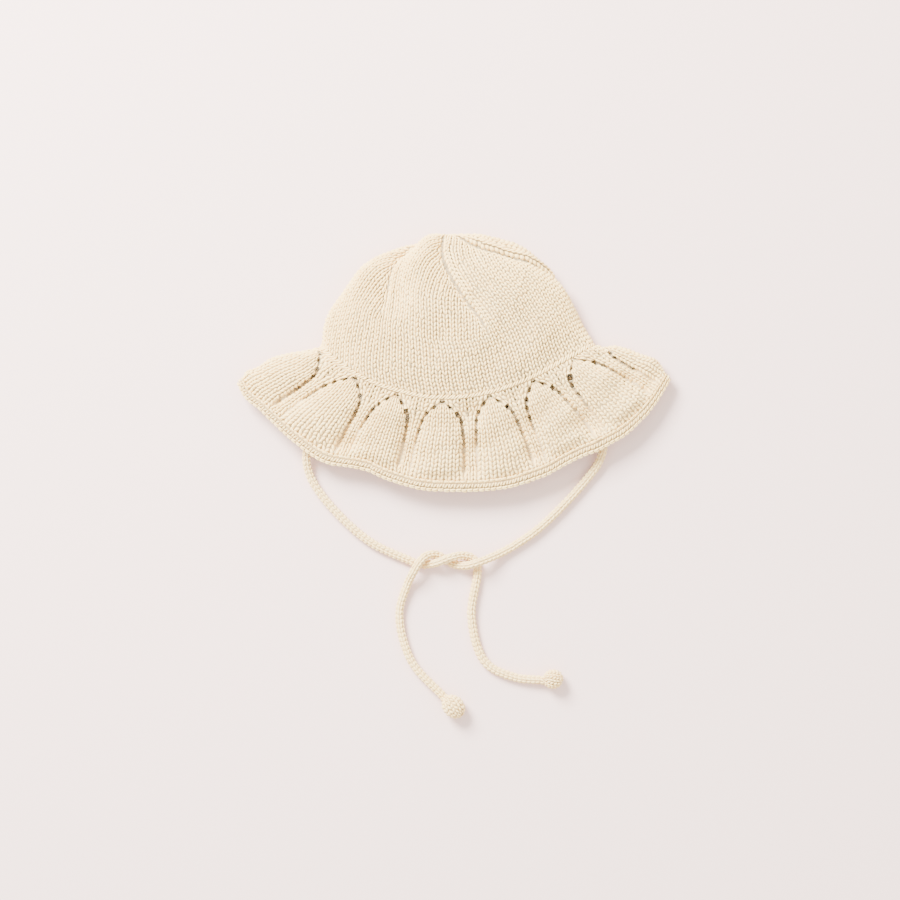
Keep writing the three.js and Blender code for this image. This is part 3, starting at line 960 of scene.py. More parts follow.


# Each dark colour is painted shade. The inside's dark is the painted shade in the gaps and around the slits,
# and its pale is the inside face's painted light.
CREAM = YarnColour((0.95, 0.675, 0.26), (0.96, 0.77, 0.38), (0.38, 0.275, 0.145))
CREAM_INSIDE_AND_GAP_SHADE = YarnColour((0.94, 0.72, 0.38), (0.96, 0.84, 0.60), (0.29, 0.225, 0.13))
CREAM_TIE = YarnColour((0.90, 0.65, 0.28), (0.92, 0.74, 0.39), (0.38, 0.27, 0.13))


class NodeGroups:
    """Shader effects that several finishes share."""

    def __init__(self) -> None:
        """Build each group once."""
        self.yarn = self._yarn()
        self.purl = self._purl()

    @staticmethod
    def _socket(
        group: bpy.types.NodeTree, name: str, kind: str, out: bool = False, value: float | None = None
    ) -> None:
        """Add a named socket to a group.

        Args:
            group: the group.
            name: the socket's name.
            kind: the socket's type.
            out: whether it is an output.
            value: what it holds until it is set.
        """
        socket = group.interface.new_socket(name, in_out="OUTPUT" if out else "INPUT", socket_type=kind)
        if value is not None:
            socket.default_value = value

    @staticmethod
    def _math(nodes: bpy.types.Nodes, operation: str) -> bpy.types.Node:
        """Add one sum."""
        node = nodes.new("ShaderNodeMath")
        node.operation = operation
        return node

    def _yarn(self) -> bpy.types.NodeTree:
        """Make the plied yarn's effect: twisted plies, fuzz and a shade for each stitch, which holds its own
        tone and the painted shade at its legs' sides and ends.

        Returns:
            The group, with a Shade and a Height output.
        """
        group = bpy.data.node_groups.new("plied_cotton", "ShaderNodeTree")
        self._socket(group, "Plies", "NodeSocketFloat", value=0.55)
        self._socket(group, "Fuzz", "NodeSocketFloat", value=0.3)
        self._socket(group, "Shade", "NodeSocketFloat", out=True)
        self._socket(group, "Height", "NodeSocketFloat", out=True)
        nodes, links = group.nodes, group.links
        inlet, outlet = nodes.new("NodeGroupInput"), nodes.new("NodeGroupOutput")
        yarn = nodes.new("ShaderNodeUVMap")
        yarn.uv_map = "yarn"
        wave = nodes.new("ShaderNodeTexWave")
        wave.bands_direction = "DIAGONAL"
        wave.inputs["Scale"].default_value = 0.32
        wave.inputs["Distortion"].default_value = 0.6
        wave.inputs["Detail"].default_value = 1.0
        place = nodes.new("ShaderNodeTexCoord")
        fuzz = nodes.new("ShaderNodeTexNoise")
        fuzz.inputs["Scale"].default_value = 2200
        fuzz.inputs["Detail"].default_value = 3
        tone = nodes.new("ShaderNodeAttribute")
        tone.attribute_name = "tone"
        plies, fibres = self._math(nodes, "MULTIPLY"), self._math(nodes, "MULTIPLY")
        height, shade = self._math(nodes, "ADD"), self._math(nodes, "MULTIPLY_ADD")
        shade.inputs[1].default_value = 0.25
        links.new(yarn.outputs["UV"], wave.inputs["Vector"])
        links.new(place.outputs["Object"], fuzz.inputs["Vector"])
        links.new(wave.outputs["Fac"], plies.inputs[0])
        links.new(inlet.outputs["Plies"], plies.inputs[1])
        links.new(fuzz.outputs["Fac"], fibres.inputs[0])
        links.new(inlet.outputs["Fuzz"], fibres.inputs[1])
        links.new(plies.outputs[0], height.inputs[0])
        links.new(fibres.outputs[0], height.inputs[1])
        links.new(fuzz.outputs["Fac"], shade.inputs[0])
        links.new(tone.outputs["Fac"], shade.inputs[2])
        links.new(height.outputs[0], outlet.inputs["Height"])
        links.new(shade.outputs[0], outlet.inputs["Shade"])
        return group

    def _purl(self) -> bpy.types.NodeTree:
        """Make the wrong side's effect: rows of small purl bumps.

        Returns:
            The group, with a Height output.
        """
        group = bpy.data.node_groups.new("purl_rows", "ShaderNodeTree")
        self._socket(group, "Height", "NodeSocketFloat", out=True)
        nodes, links = group.nodes, group.links
        outlet = nodes.new("NodeGroupOutput")
        yarn = nodes.new("ShaderNodeUVMap")
        yarn.uv_map = "yarn"
        rows = nodes.new("ShaderNodeTexWave")
        rows.bands_direction = "Y"
        rows.inputs["Scale"].default_value = 0.1
        rows.inputs["Distortion"].default_value = 1.5
        columns = nodes.new("ShaderNodeTexWave")
        columns.bands_direction = "X"
        columns.inputs["Scale"].default_value = 0.066
        both = self._math(nodes, "MULTIPLY")
        links.new(yarn.outputs["UV"], rows.inputs["Vector"])
        links.new(yarn.outputs["UV"], columns.inputs["Vector"])
        links.new(rows.outputs["Fac"], both.inputs[0])
        links.new(columns.outputs["Fac"], both.inputs[1])
        links.new(both.outputs[0], outlet.inputs["Height"])
        return group


@dataclass(frozen=True)
class YarnFinish:
    """The finish of knitted cotton: matt, with a little sheen, and bumps of plies or purl rows."""

    name: str
    colour: YarnColour
    groups: NodeGroups
    is_backing: bool = False
    roughness: float = 0.92
    shine: float = 0.12
    sheen: float = 0.05
    sheen_roughness: float = 0.6
    ply_bump: float = 0.25
    purl_bump: float = 0.8
    bump_strength: float = 0.6
    colour_places: tuple[float, float, float] = (0.15, 0.5, 0.95)

    def material(self) -> bpy.types.Material:
        """Build the material.

        Returns:
            A matt, slightly fuzzy cotton with its plies in the bump.
        """
        material = bpy.data.materials.new(self.name)
        material.use_nodes = True
        nodes, links = material.node_tree.nodes, material.node_tree.links
        shader = nodes["Principled BSDF"]
        shader.inputs["Roughness"].default_value = self.roughness
        shader.inputs["Specular IOR Level"].default_value = self.shine
        shader.inputs["Sheen Weight"].default_value = self.sheen
        shader.inputs["Sheen Roughness"].default_value = self.sheen_roughness
        group = nodes.new("ShaderNodeGroup")
        group.node_tree = self.groups.purl if self.is_backing else self.groups.yarn
        bump = nodes.new("ShaderNodeBump")
        bump.inputs["Distance"].default_value = (self.purl_bump if self.is_backing else self.ply_bump) * MM
        bump.inputs["Strength"].default_value = self.bump_strength
        links.new(group.outputs["Height"], bump.inputs["Height"])
        links.new(bump.outputs["Normal"], shader.inputs["Normal"])
        # The ramp turns the tone into colour: its dark end is painted shade, and its pale end is the fibres'
        # paler tips and, on the backing's inner face, painted light.
        ramp = nodes.new("ShaderNodeValToRGB")
        first, middle, last = self.colour_places
        ramp.color_ramp.elements[0].position = first
        ramp.color_ramp.elements[0].color = (*self.colour.dark, 1)
        ramp.color_ramp.elements[1].position = last
        ramp.color_ramp.elements[1].color = (*self.colour.pale, 1)
        ramp.color_ramp.elements.new(middle).color = (*self.colour.body, 1)
        if self.is_backing:
            tone = nodes.new("ShaderNodeAttribute")
            tone.attribute_name = "tone"
            links.new(tone.outputs["Fac"], ramp.inputs["Fac"])
        else:
            links.new(group.outputs["Shade"], ramp.inputs["Fac"])
        links.new(ramp.outputs["Color"], shader.inputs["Base Color"])
        return material


@dataclass
class Part:
    """Some of a piece's mesh: points in millimetres, faces, yarn places and shades."""

    points: Array
    corners: Array
    sizes: Array
    yarn: Array
    tone: Array

    @staticmethod
    def join(parts: Sequence["Part"]) -> "Part":
        """Join parts into one, in their order.

        Args:
            parts: the parts.

        Returns:
            One part.
        """
        starts = np.cumsum([0] + [len(part.points) for part in parts[:-1]])
        return Part(
            np.concatenate([part.points for part in parts]),
            np.concatenate([part.corners + start for part, start in zip(parts, starts)]),
            np.concatenate([part.sizes for part in parts]),
            np.concatenate([part.yarn for part in parts]),
            np.concatenate([part.tone for part in parts]),
        )

    @staticmethod
    def of_form(form: bmesh.types.BMesh, tone: Array | float) -> "Part":
        """Read a shaped form, and free it.

        Args:
            form: the form, in millimetres, with its yarn places as a UV layer.
            tone: its shade, all over or point by point.

        Returns:
            The form as a part.
        """
        layer = form.loops.layers.uv["yarn"]
        form.verts.index_update()
        points = np.array([v.co[:] for v in form.verts])
        corners = np.array([v.index for face in form.faces for v in face.verts])
        sizes = np.array([len(face.verts) for face in form.faces])
        yarn = np.array([loop[layer].uv[:] for face in form.faces for loop in face.loops])
        form.free()
        return Part(points, corners, sizes, yarn, np.broadcast_to(tone, len(points)))

    def dress(self, name: str, material: bpy.types.Material, node: str, slot: str) -> bpy.types.Object:
        """Make the part a piece that rides on the hat.

        Args:
            name: the piece's name.
            material: its finish.
            node: the solid whose place it takes.
            slot: the solid's material slot; not used.

        Returns:
            The piece, smooth all over.
        """
        mesh = bpy.data.meshes.new(name)
        mesh.vertices.add(len(self.points))
        mesh.vertices.foreach_set("co", (self.points * MM).astype(np.float32).ravel())
        mesh.loops.add(len(self.corners))
        mesh.loops.foreach_set("vertex_index", self.corners.astype(np.int32))
        mesh.polygons.add(len(self.sizes))
        starts = np.concatenate([[0], np.cumsum(self.sizes)[:-1]])
        mesh.polygons.foreach_set("loop_start", starts.astype(np.int32))
        mesh.update(calc_edges=True)
        mesh.polygons.foreach_set("use_smooth", np.ones(len(self.sizes), dtype=bool))
        mesh.uv_layers.new(name="yarn").uv.foreach_set("vector", self.yarn.astype(np.float32).ravel())
        mesh.attributes.new("tone", "FLOAT", "POINT").data.foreach_set("value", self.tone.astype(np.float32))
        mesh.materials.append(material)
        mesh.validate()
        piece = bpy.data.objects.new(name, mesh)
        bpy.context.scene.collection.objects.link(piece)
        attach(piece, BODY)
        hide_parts(node)
        return piece


def wrapped_form(
    skin: Skin, around: int, downs: Array, rises: Array | float, yarn_size: tuple[float, float]
) -> bmesh.types.BMesh:
    """Bend a flat grid around a surface and close its seam.

    Args:
        skin: the surface.
        around: how many faces go around it.
        downs: where its rows are.
        rises: the rows' heights over the surface, in millimetres.
        yarn_size: how long the yarn places are around and down, in millimetres.

    Returns:
        The form, with its faces outwards.
    """
    form = bmesh.new()
    bmesh.ops.create_grid(form, x_segments=around, y_segments=len(downs) - 1, size=0.5)
    layer = form.loops.layers.uv.new("yarn")
    for face in form.faces:
        for loop in face.loops:
            loop[layer].uv = ((loop.vert.co.x + 0.5) * yarn_size[0], (loop.vert.co.y + 0.5) * yarn_size[1])
    flat = np.array([v.co[:2] for v in form.verts]) + 0.5
    row = np.rint(flat[:, 1] * (len(downs) - 1)).astype(int)
    down = np.asarray(downs)[row]
    rise = np.broadcast_to(rises, len(downs))[row]
    turn = np.where(flat[:, 0] > 1 - 0.5 / around, 0.0, flat[:, 0])
    placed = skin.point(turn, down, rise)
    outward = skin.point(turn, down, rise + LIFT) - placed
    for vert, place in zip(form.verts, placed):
        vert.co = place
    bmesh.ops.recalc_face_normals(form, faces=form.faces)
    form.normal_update()
    lean = sum(float(np.dot(v.normal, way)) for v, way in zip(form.verts, outward))
    if lean < 0:
        bmesh.ops.reverse_faces(form, faces=form.faces)
    bmesh.ops.remove_doubles(form, verts=form.verts, dist=SAME_POINT)
    return form


@dataclass
class Knitter:
    """Lays stitches on a surface, one pair of legs in each cell."""

    stitch: Stitch
    seed: int = 1
    shift: float = 0.04
    rise_shift: float = 0.09
    yarn_shift: float = 40.0
    tone: float = 0.62
    tone_shift: float = 0.06

    def coarser(self) -> "Knitter":
        """Give a knitter of the same stitches with fewer faces, for the side that lies underneath."""
        return replace(self, stitch=replace(self.stitch, across_segments=3, along_segments=4))

    def lay(self, skin: Skin, cells: Array) -> Part:
        """Lay a stitch in every cell.

        Args:
            skin: the surface.
            cells: each cell's corners as (across, down): top left, top right, bottom left and right.

        Returns:
            All the legs as one part.
        """
        rng = np.random.default_rng(self.seed)
        count, size = len(cells), len(self.stitch.places)
        place = self.stitch.places[None] + rng.normal(0, self.shift, (count, 1, 2))
        a, b = np.clip(place[..., 0:1], 0, 1), place[..., 1:2]
        top = cells[:, None, 0] * (1 - a) + cells[:, None, 1] * a
        bottom = cells[:, None, 2] * (1 - a) + cells[:, None, 3] * a
        spot = (top * (1 - b) + bottom * b).reshape(-1, 2)
        rise = (self.stitch.rises[None] + rng.normal(0, self.rise_shift, (count, 1))).ravel()
        points = skin.point(spot[:, 0], spot[:, 1], rise)
        lifted = skin.point(spot[:, 0], spot[:, 1], rise + LIFT)
        faces = (self.stitch.faces[None] + size * np.arange(count)[:, None, None]).reshape(-1, 4)
        if isinstance(skin, PiercedFabric):
            faces = faces[~skin.is_open(spot[faces].mean(axis=1))]
        a, b, c = (points[faces[:, k]] for k in range(3))
        lean = np.einsum("ij,ij->i", np.cross(b - a, c - a), (lifted - points)[faces[:, 0]])
        if np.median(lean) < 0:
            faces = faces[:, ::-1]
        yarn = (self.stitch.yarn[None] + self.yarn_shift * rng.random((count, 1, 2))).reshape(-1, 2)
        # A stitch's own tone differs at random; the stitch's painted shade is added to it.
        own_tone = self.tone + rng.normal(0, self.tone_shift, (count, 1))
        tone = np.clip(own_tone + self.stitch.shade[None], 0, 1).ravel()
        corners = faces.ravel()
        return Part(points, corners, np.full(len(faces), 4), yarn[corners], tone)


@dataclass
class Backing:
    """A thin wall under the stitches, whose inner face is the hat's wrong side. Its outer face is painted
    dark as the shade in the gaps between stitches and around the slits, and its inner face is the wrong
    side's cream at its palest, painted light that stands in for light coming through the fabric.
    """

    outer: float = -1.85
    inner: float = -2.6
    painted_gap_shade: float = 0.18
    painted_inside_light: float = 0.95
    seam: float = 0.0
    slit_share: float = 0.68
    rim_share: float = 1.1
    painted_rim_shade: float = 0.12
    yarn_size: tuple[float, float] = (450.0, 130.0)
    fine_within: tuple[float, float] = (0.9, 0.45)

    def wall(self, skin: Skin, around: int, downs: Array, slits: Eyelets | None = None) -> Part:
        """Build the wall around the hat.

        Args:
            skin: the surface it follows.
            around: how many faces go around it.
            downs: where its rows are.
            slits: what pierces it.

        Returns:
            The wall, closed along every edge.
        """
        form = bmesh.new()
        bmesh.ops.create_grid(form, x_segments=around, y_segments=len(downs) - 1, size=0.5)
        for vert in form.verts:
            row = round((vert.co.y + 0.5) * (len(downs) - 1))
            vert.co = (self.seam + vert.co.x + 0.5, downs[row], 0.0)
        if slits is not None:
            self._pierce(form, slits)
        yarn = form.loops.layers.uv.new("yarn")
        place = form.verts.layers.float_vector.new("place")
        for vert in form.verts:
            vert[place] = vert.co
            for loop in vert.link_loops:
                loop[yarn].uv = (vert.co.x * self.yarn_size[0], vert.co.y * self.yarn_size[1])
        self._bend(form.verts[:], place, skin, self.inner)
        bmesh.ops.remove_doubles(form, verts=form.verts, dist=SAME_POINT)
        grown = bmesh.ops.extrude_face_region(form, geom=form.faces[:], use_keep_orig=True)
        outer = [part for part in grown["geom"] if isinstance(part, bmesh.types.BMVert)]
        self._bend(outer, place, skin, self.outer)
        bmesh.ops.recalc_face_normals(form, faces=form.faces)
        form.verts.index_update()
        # Painted shade on the outer face, which shows in the gaps between stitches and is darkest on the
        # slits' rims; painted light on the inner face.
        tone = np.full(len(form.verts), self.painted_inside_light)
        tone[[vert.index for vert in outer]] = self.painted_gap_shade
        if slits is not None:
            flat = np.array([vert[place][:2] for vert in outer])
            depth, _, _, _ = slits.locate(flat[:, 0] % 1.0, flat[:, 1])
            rims = [vert.index for vert, inside in zip(outer, depth) if inside < self.rim_share]
            tone[rims] = self.painted_rim_shade
        return Part.of_form(form, tone)

    @staticmethod
    def _bend(
        verts: list[bmesh.types.BMVert], place: bmesh.types.BMLayerItem, skin: Skin, rise: float
    ) -> None:
        """Move points of the flat wall onto the surface.

        Args:
            verts: the points.
            place: the layer that keeps their flat places.
            skin: the surface.
            rise: how high over it they go, in millimetres.
        """
        flat = np.array([vert[place][:2] for vert in verts])
        points = skin.point(flat[:, 0], flat[:, 1], np.full(len(flat), rise))
        for vert, point in zip(verts, points):
            vert.co = point

    def _pierce(self, form: bmesh.types.BMesh, slits: Eyelets) -> None:
        """Divide the flat wall finely around the slits, and cut them out of it.

        Args:
            form: the flat wall.
            slits: what pierces it.
        """
        for margin in self.fine_within:
            _, clearance = self._look(form, slits)
            near = [face for face, gap in zip(form.faces, clearance) if gap < margin]
            edges = list({edge for face in near for edge in face.edges})
            bmesh.ops.subdivide_edges(form, edges=edges, cuts=1, use_grid_fill=True)
        depth, _ = self._look(form, slits)
        cut = [face for face, inside in zip(form.faces, depth < self.slit_share) if inside]
        bmesh.ops.delete(form, geom=cut, context="FACES")

    @staticmethod
    def _look(form: bmesh.types.BMesh, slits: Eyelets) -> tuple[Array, Array]:
        """Give every flat face's depth in a slit, and its clearance to it.

        Args:
            form: the flat wall.
            slits: what pierces it.

        Returns:
            The depths and the clearances, one for each face.
        """
        middles = np.array([face.calc_center_median()[:2] for face in form.faces])
        depth, clearance, _, _ = slits.locate(middles[:, 0] % 1.0, middles[:, 1])
        return depth, clearance


def cell_grid(left: Array, right: Array, top: Array, bottom: Array) -> Array:
    """Stack cells from their edges.

    Args:
        left: turns of the left edge at the top and the bottom, one pair for each cell.
        right: the same for the right edge.
        top: places down of the upper edge.
        bottom: places down of the lower edge.

    Returns:
        Cells as corners.
    """
    return np.stack(
        [
            np.stack([left[:, 0], top], axis=1),
            np.stack([right[:, 0], top], axis=1),
            np.stack([left[:, 1], bottom], axis=1),
            np.stack([right[:, 1], bottom], axis=1),
        ],
        axis=1,
    )


@dataclass
class Crown:
    """The crown: columns that follow the decrease lines to the tip."""

    fabric: HatFabric
    rows: int = 41
    stitches: int = 18
    least_count: float = 0.5
    full_from: float = 0.67
    first_row: float = 0.012
    last_row: float = 0.985
    wall_around: int = 260
    wall_rows: int = 60
    wall_starts: float = 0.03
    wall_tip: tuple[float, ...] = (0.0, 0.006, 0.014)

    def _count(self, along: Array) -> Array:
        """Give how many stitches fill a sector at a place down the crown.

        Args:
            along: places down the crown.

        Returns:
            The counts, as they are before rounding.
        """
        length = self.fabric.round_length(along)
        full = self.fabric.round_length(self.full_from)
        return self.stitches * np.minimum(length / full, 1.0)

    def cells(self) -> Array:
        """Lay out the crown's stitches.

        Returns:
            Every stitch's cell.
        """
        edges = np.linspace(self.first_row, self.last_row, self.rows + 1)
        line = self.fabric.decrease_line(edges)
        width = 1 / self.fabric.sectors / np.maximum(self._count(edges), self.least_count)
        pieces = []
        for row in range(self.rows):
            pair = slice(row, row + 2)
            for sector in range(self.fabric.sectors):
                start = line[pair] + sector / self.fabric.sectors
                end = start + 1 / self.fabric.sectors
                for column in range(self.stitches):
                    left = start + column * width[pair]
                    right = np.minimum(left + width[pair], end)
                    rest = end - left
                    if rest.mean() < LEAST_STITCH * width[pair].mean():
                        break
                    if (end - right).mean() < LEAST_STITCH * width[pair].mean():
                        right = end
                    left = np.minimum(left, end)
                    pieces.append((left, right, edges[row], edges[row + 1]))
        left, right, top, bottom = (np.array(part) for part in zip(*pieces))
        return cell_grid(left, right, top, bottom)

    def build(self, knitter: Knitter, yarn: bpy.types.Material, backing: bpy.types.Material) -> None:
        """Knit the crown and its backing.

        Args:
            knitter: who lays the stitches.
            yarn: the yarn's finish.
            backing: the finish of the wrong side, which also paints the shade in the gaps between stitches.
        """
        cells = self.cells()
        front = cells.mean(axis=1)[:, 0] % 1.0 < self.fabric.front_share
        for name, chosen, hand in (
            ("crown_front_stitches", front, knitter),
            ("crown_back_stitches", ~front, knitter.coarser()),
        ):
            hand.lay(self.fabric, cells[chosen]).dress(name, yarn, "crown", "crown_knit")
            LOG.info("%s: %d stitches", name, chosen.sum())
        downs = np.append(self.wall_tip, np.linspace(self.wall_starts, 1.0, self.wall_rows))
        wall = Backing().wall(self.fabric, self.wall_around, downs)
        wall.dress("crown_backing", backing, "crown", "crown_knit")


@dataclass
class Brim:
    """The brim: ribs, and petals of stitches that fan out under an arch of slits."""

    fabric: HatFabric
    eyelets: Eyelets
    rows: int = 18
    first_row: float = 0.022
    tucked_to: float = 1.022
    slit_margin: float = 0.004
    rib_column: float = 0.142
    petal_stitches: int = 7
    full_reach: float = 0.43
    join_band: tuple[float, float] = (0.985, 1.013)
    band_stitches: int = 96
    band_slant: float = 0.8
    wall_around: int = 24
    wall_rows: int = 45
    seam_rib: int = 10
    seam_reach: float = 0.3

    def _half_rib(self, reaches: Array) -> list[tuple[Array, Array]]:
        """List one row's columns from a rib's middle to the arch, as pairs of edges.

        Args:
            reaches: the row's upper and lower edge, as places down the brim.

        Returns:
            Left and right edges.
        """
        edge = 0.5 - self.fabric.arch_half(reaches) - self.slit_margin
        count = max(1, round(float(edge.mean()) / self.rib_column))
        sides = [np.minimum(k * self.rib_column, edge) for k in range(count)] + [edge]
        return list(zip(sides, sides[1:]))

    def _petal(self, reaches: Array) -> list[tuple[Array, Array]]:
        """List one row's columns under the arch, as pairs of edges.

        Args:
            reaches: the row's upper and lower edge, as places down the brim.

        Returns:
            Left and right edges.
        """
        half = self.fabric.arch_half(reaches) - self.slit_margin
        full = self.fabric.arch_half(np.maximum(reaches, self.full_reach)) - self.slit_margin
        pitch = 2 * full / self.petal_stitches
        columns = []
        side = self.petal_stitches // 2
        for k in range(-side, side + 1):
            left, right = (k - 0.5) * pitch, (k + 0.5) * pitch
            left, right = np.clip(left, -half, half), np.clip(right, -half, half)
            if (right - left).mean() > LEAST_STITCH * pitch.mean():
                columns.append((0.5 + left, 0.5 + right))
        return columns

    def cells(self) -> Array:
        """Lay out the brim's stitches.

        Returns:
            Every stitch's cell.
        """
        fabric = self.fabric
        reaches = np.append(np.linspace(self.first_row, 1.0, self.rows + 1), self.tucked_to)
        pieces = []
        for row in range(self.rows + 1):
            pair = reaches[row : row + 2]
            ribs = self._half_rib(pair)
            columns = ribs + [(1 - right, 1 - left) for left, right in ribs] + self._petal(pair)
            top, bottom = 1 + pair * fabric.hem_starts
            for repeat in range(fabric.repeats):
                number = np.full(2, repeat)
                for left, right in columns:
                    edges = (fabric.turn_in_repeat(number, side, pair) for side in (left, right))
                    pieces.append((*edges, top, bottom))
        left, right, top, bottom = (np.array(part) for part in zip(*pieces))
        return cell_grid(left, right, top, bottom)

    def _band(self) -> Part:
        """Knit the row of sideways stitches along the join.

        Returns:
            The row as a part.
        """
        knitter = Knitter(Stitch(depth=1.2, thickness=1.35, half_width=0.22), seed=14)
        width = 1 / self.band_stitches
        turn = np.arange(self.band_stitches) * width
        left = np.stack([turn + self.band_slant * width, turn], axis=1)
        top, bottom = (np.full(self.band_stitches, place) for place in self.join_band)
        return knitter.lay(self.fabric, cell_grid(left, left + width, top, bottom))

    def build(self, knitter: Knitter, yarn: bpy.types.Material, backing: bpy.types.Material) -> None:
        """Knit the brim and its backing.

        Args:
            knitter: who lays the stitches.
            yarn: the yarn's finish.
            backing: the finish of the wrong side, which also paints the shade in the gaps between stitches.
        """
        skin = PiercedFabric(self.fabric, self.eyelets)
        cells = self.cells()
        front = cells.mean(axis=1)[:, 0] % 1.0 < self.fabric.front_share
        for name, chosen, hand in (
            ("brim_front_stitches", front, knitter),
            ("brim_back_stitches", ~front, knitter.coarser()),
        ):
            hand.lay(skin, cells[chosen]).dress(name, yarn, "brim", "brim_knit")
            LOG.info("%s: %d stitches", name, chosen.sum())
        downs = 1 + self.fabric.hem_starts * np.linspace(0.0, 1.0, self.wall_rows)
        seam = float(self.fabric.ribs(np.array(self.seam_reach))[self.seam_rib])
        around = self.fabric.repeats * self.wall_around
        wall = Backing(outer=-1.65, painted_gap_shade=0.32, seam=seam).wall(self.fabric, around, downs, self.eyelets)
        wall.dress("brim_backing", backing, "brim", "brim_knit")
        self._band().dress("join_band", yarn, "brim", "brim_knit")


@dataclass(frozen=True)
class HemRow:
    """One row of the hem: its stitch, where around the roll it starts and ends, and its slant."""

    stitch: Stitch
    top: float
    bottom: float
    slant: float = 0.0


@dataclass
class Hem:
    """The rolled hem: a row of stitches, and a chain along the edge."""

    fabric: HatFabric
    columns: int = 172
    core_rows: int = 15
    core_rise: float = -1.0
    core_painted_shade: float = 0.05
    yarn_size: tuple[float, float] = (600.0, 14.0)

    def build(self, seed: int, yarn: bpy.types.Material) -> None:
        """Knit the hem around its core.

        Args:
            seed: where its rows' small differences start.
            yarn: the yarn's finish.
        """
        roll = HemRoll(self.fabric)
        low = Stitch(depth=0.75, thickness=1.0)
        coarse = replace(low, across_segments=3, along_segments=4)
        edge = replace(coarse, kind=StitchKind.CHAIN, half_width=0.24, dive=0.4)
        rows = (
            HemRow(edge, 0.03, 0.135),
            HemRow(replace(low, half_width=0.16, dive=0.6), 0.235, 0.455, slant=0.35),
            HemRow(edge, 0.525, 0.68),
            HemRow(coarse, 0.73, 0.98),
        )
        turns = np.arange(self.columns) / self.columns
        width = 1 / self.columns
        parts = []
        for k, row in enumerate(rows):
            left = np.stack([turns + row.slant * width, turns], axis=1)
            ends = (np.full(self.columns, place) for place in (row.top, row.bottom))
            parts.append(Knitter(row.stitch, seed + k).lay(roll, cell_grid(left, left + width, *ends)))
        # The core under the stitches is painted nearly at the dark colour, as the shade in the gaps between
        # them.
        downs = np.linspace(0, 1, self.core_rows)
        core = wrapped_form(roll, 2 * self.columns, downs, self.core_rise, self.yarn_size)
        bmesh.ops.bridge_loops(core, edges=[edge for edge in core.edges if edge.is_boundary])
        parts.append(Part.of_form(core, self.core_painted_shade))
        Part.join(parts).dress("hem_stitches", yarn, "hem", "hem_knit")
        LOG.info("hem: %d stitches", len(rows) * self.columns)


LOW = 3.3
HIGH = 10.5
LEFT_ROUTE = (
    (-88.5, 13.0, 7.2), (-96.0, -25.0, 7.4), (-106.6, -64.0, 8.0), (-105.2, -79.0, 4.9),
    (-95.6, -96.0, LOW), (-63.0, -128.0, LOW), (-32.0, -143.0, LOW), (-25.0, -145.8, 3.5),
    (-18.5, -145.6, 5.2), (-12.5, -144.4, 8.9), (-6.8, -142.2, HIGH), (-1.0, -140.2, 9.7),
    (5.0, -139.2, 6.8), (11.4, -140.4, 4.0), (15.9, -144.2, LOW), (16.9, -152.0, LOW),
    (12.6, -184.0, LOW), (22.5, -216.5, LOW), (44.0, -227.6, LOW), (63.9, -229.6, 4.6),
)
RIGHT_ROUTE = (
    (91.2, 13.0, 7.4), (101.2, -24.0, 7.4), (108.2, -56.0, 8.0), (105.6, -70.0, 5.5),
    (96.0, -84.4, 3.4), (62.5, -119.0, LOW), (44.0, -132.0, LOW), (33.0, -138.0, 4.6),
    (25.0, -141.4, 8.0), (17.2, -144.2, HIGH), (10.6, -146.2, 9.2), (4.0, -146.4, 5.4),
    (-2.0, -144.8, 3.4), (-11.4, -139.4, 3.9), (-16.8, -138.6, 6.6), (-21.6, -140.4, 9.7),
    (-25.6, -144.8, HIGH), (-29.2, -151.0, 9.1), (-33.6, -160.0, 4.8), (-39.6, -182.0, LOW),
    (-31.0, -215.6, LOW), (-7.2, -242.0, 4.8),
)


def smooth_route(points: Sequence[tuple[float, float, float]], per: int = 16) -> Array:
    """Draw one smooth curve through a route's points, never lower than a cord can lie.

    Args:
        points: the route's points, in millimetres.
        per: how many steps to take between two points.

    Returns:
        The curve's points.
    """
    given = np.array(points, float)
    ends = [2 * given[0] - given[1], *given, 2 * given[-1] - given[-2]]
    out = []
    for before, a, b, after in zip(ends, ends[1:], ends[2:], ends[3:]):
        d0, d1, d2 = (math.sqrt(np.linalg.norm(q - p)) for p, q in ((before, a), (a, b), (b, after)))
        t1 = ((a - before) / d0 - (b - before) / (d0 + d1) + (b - a) / d1) * d1
        t2 = ((b - a) / d1 - (after - a) / (d1 + d2) + (after - b) / d2) * d1
        for t in np.arange(per) / per:
            out.append(a + t1 * t + (3 * (b - a) - 2 * t1 - t2) * t**2 + (2 * (a - b) + t1 + t2) * t**3)
    out.append(given[-1])
    curve = np.array(out)
    curve[:, 2] = np.maximum(curve[:, 2], LOW)
    return curve


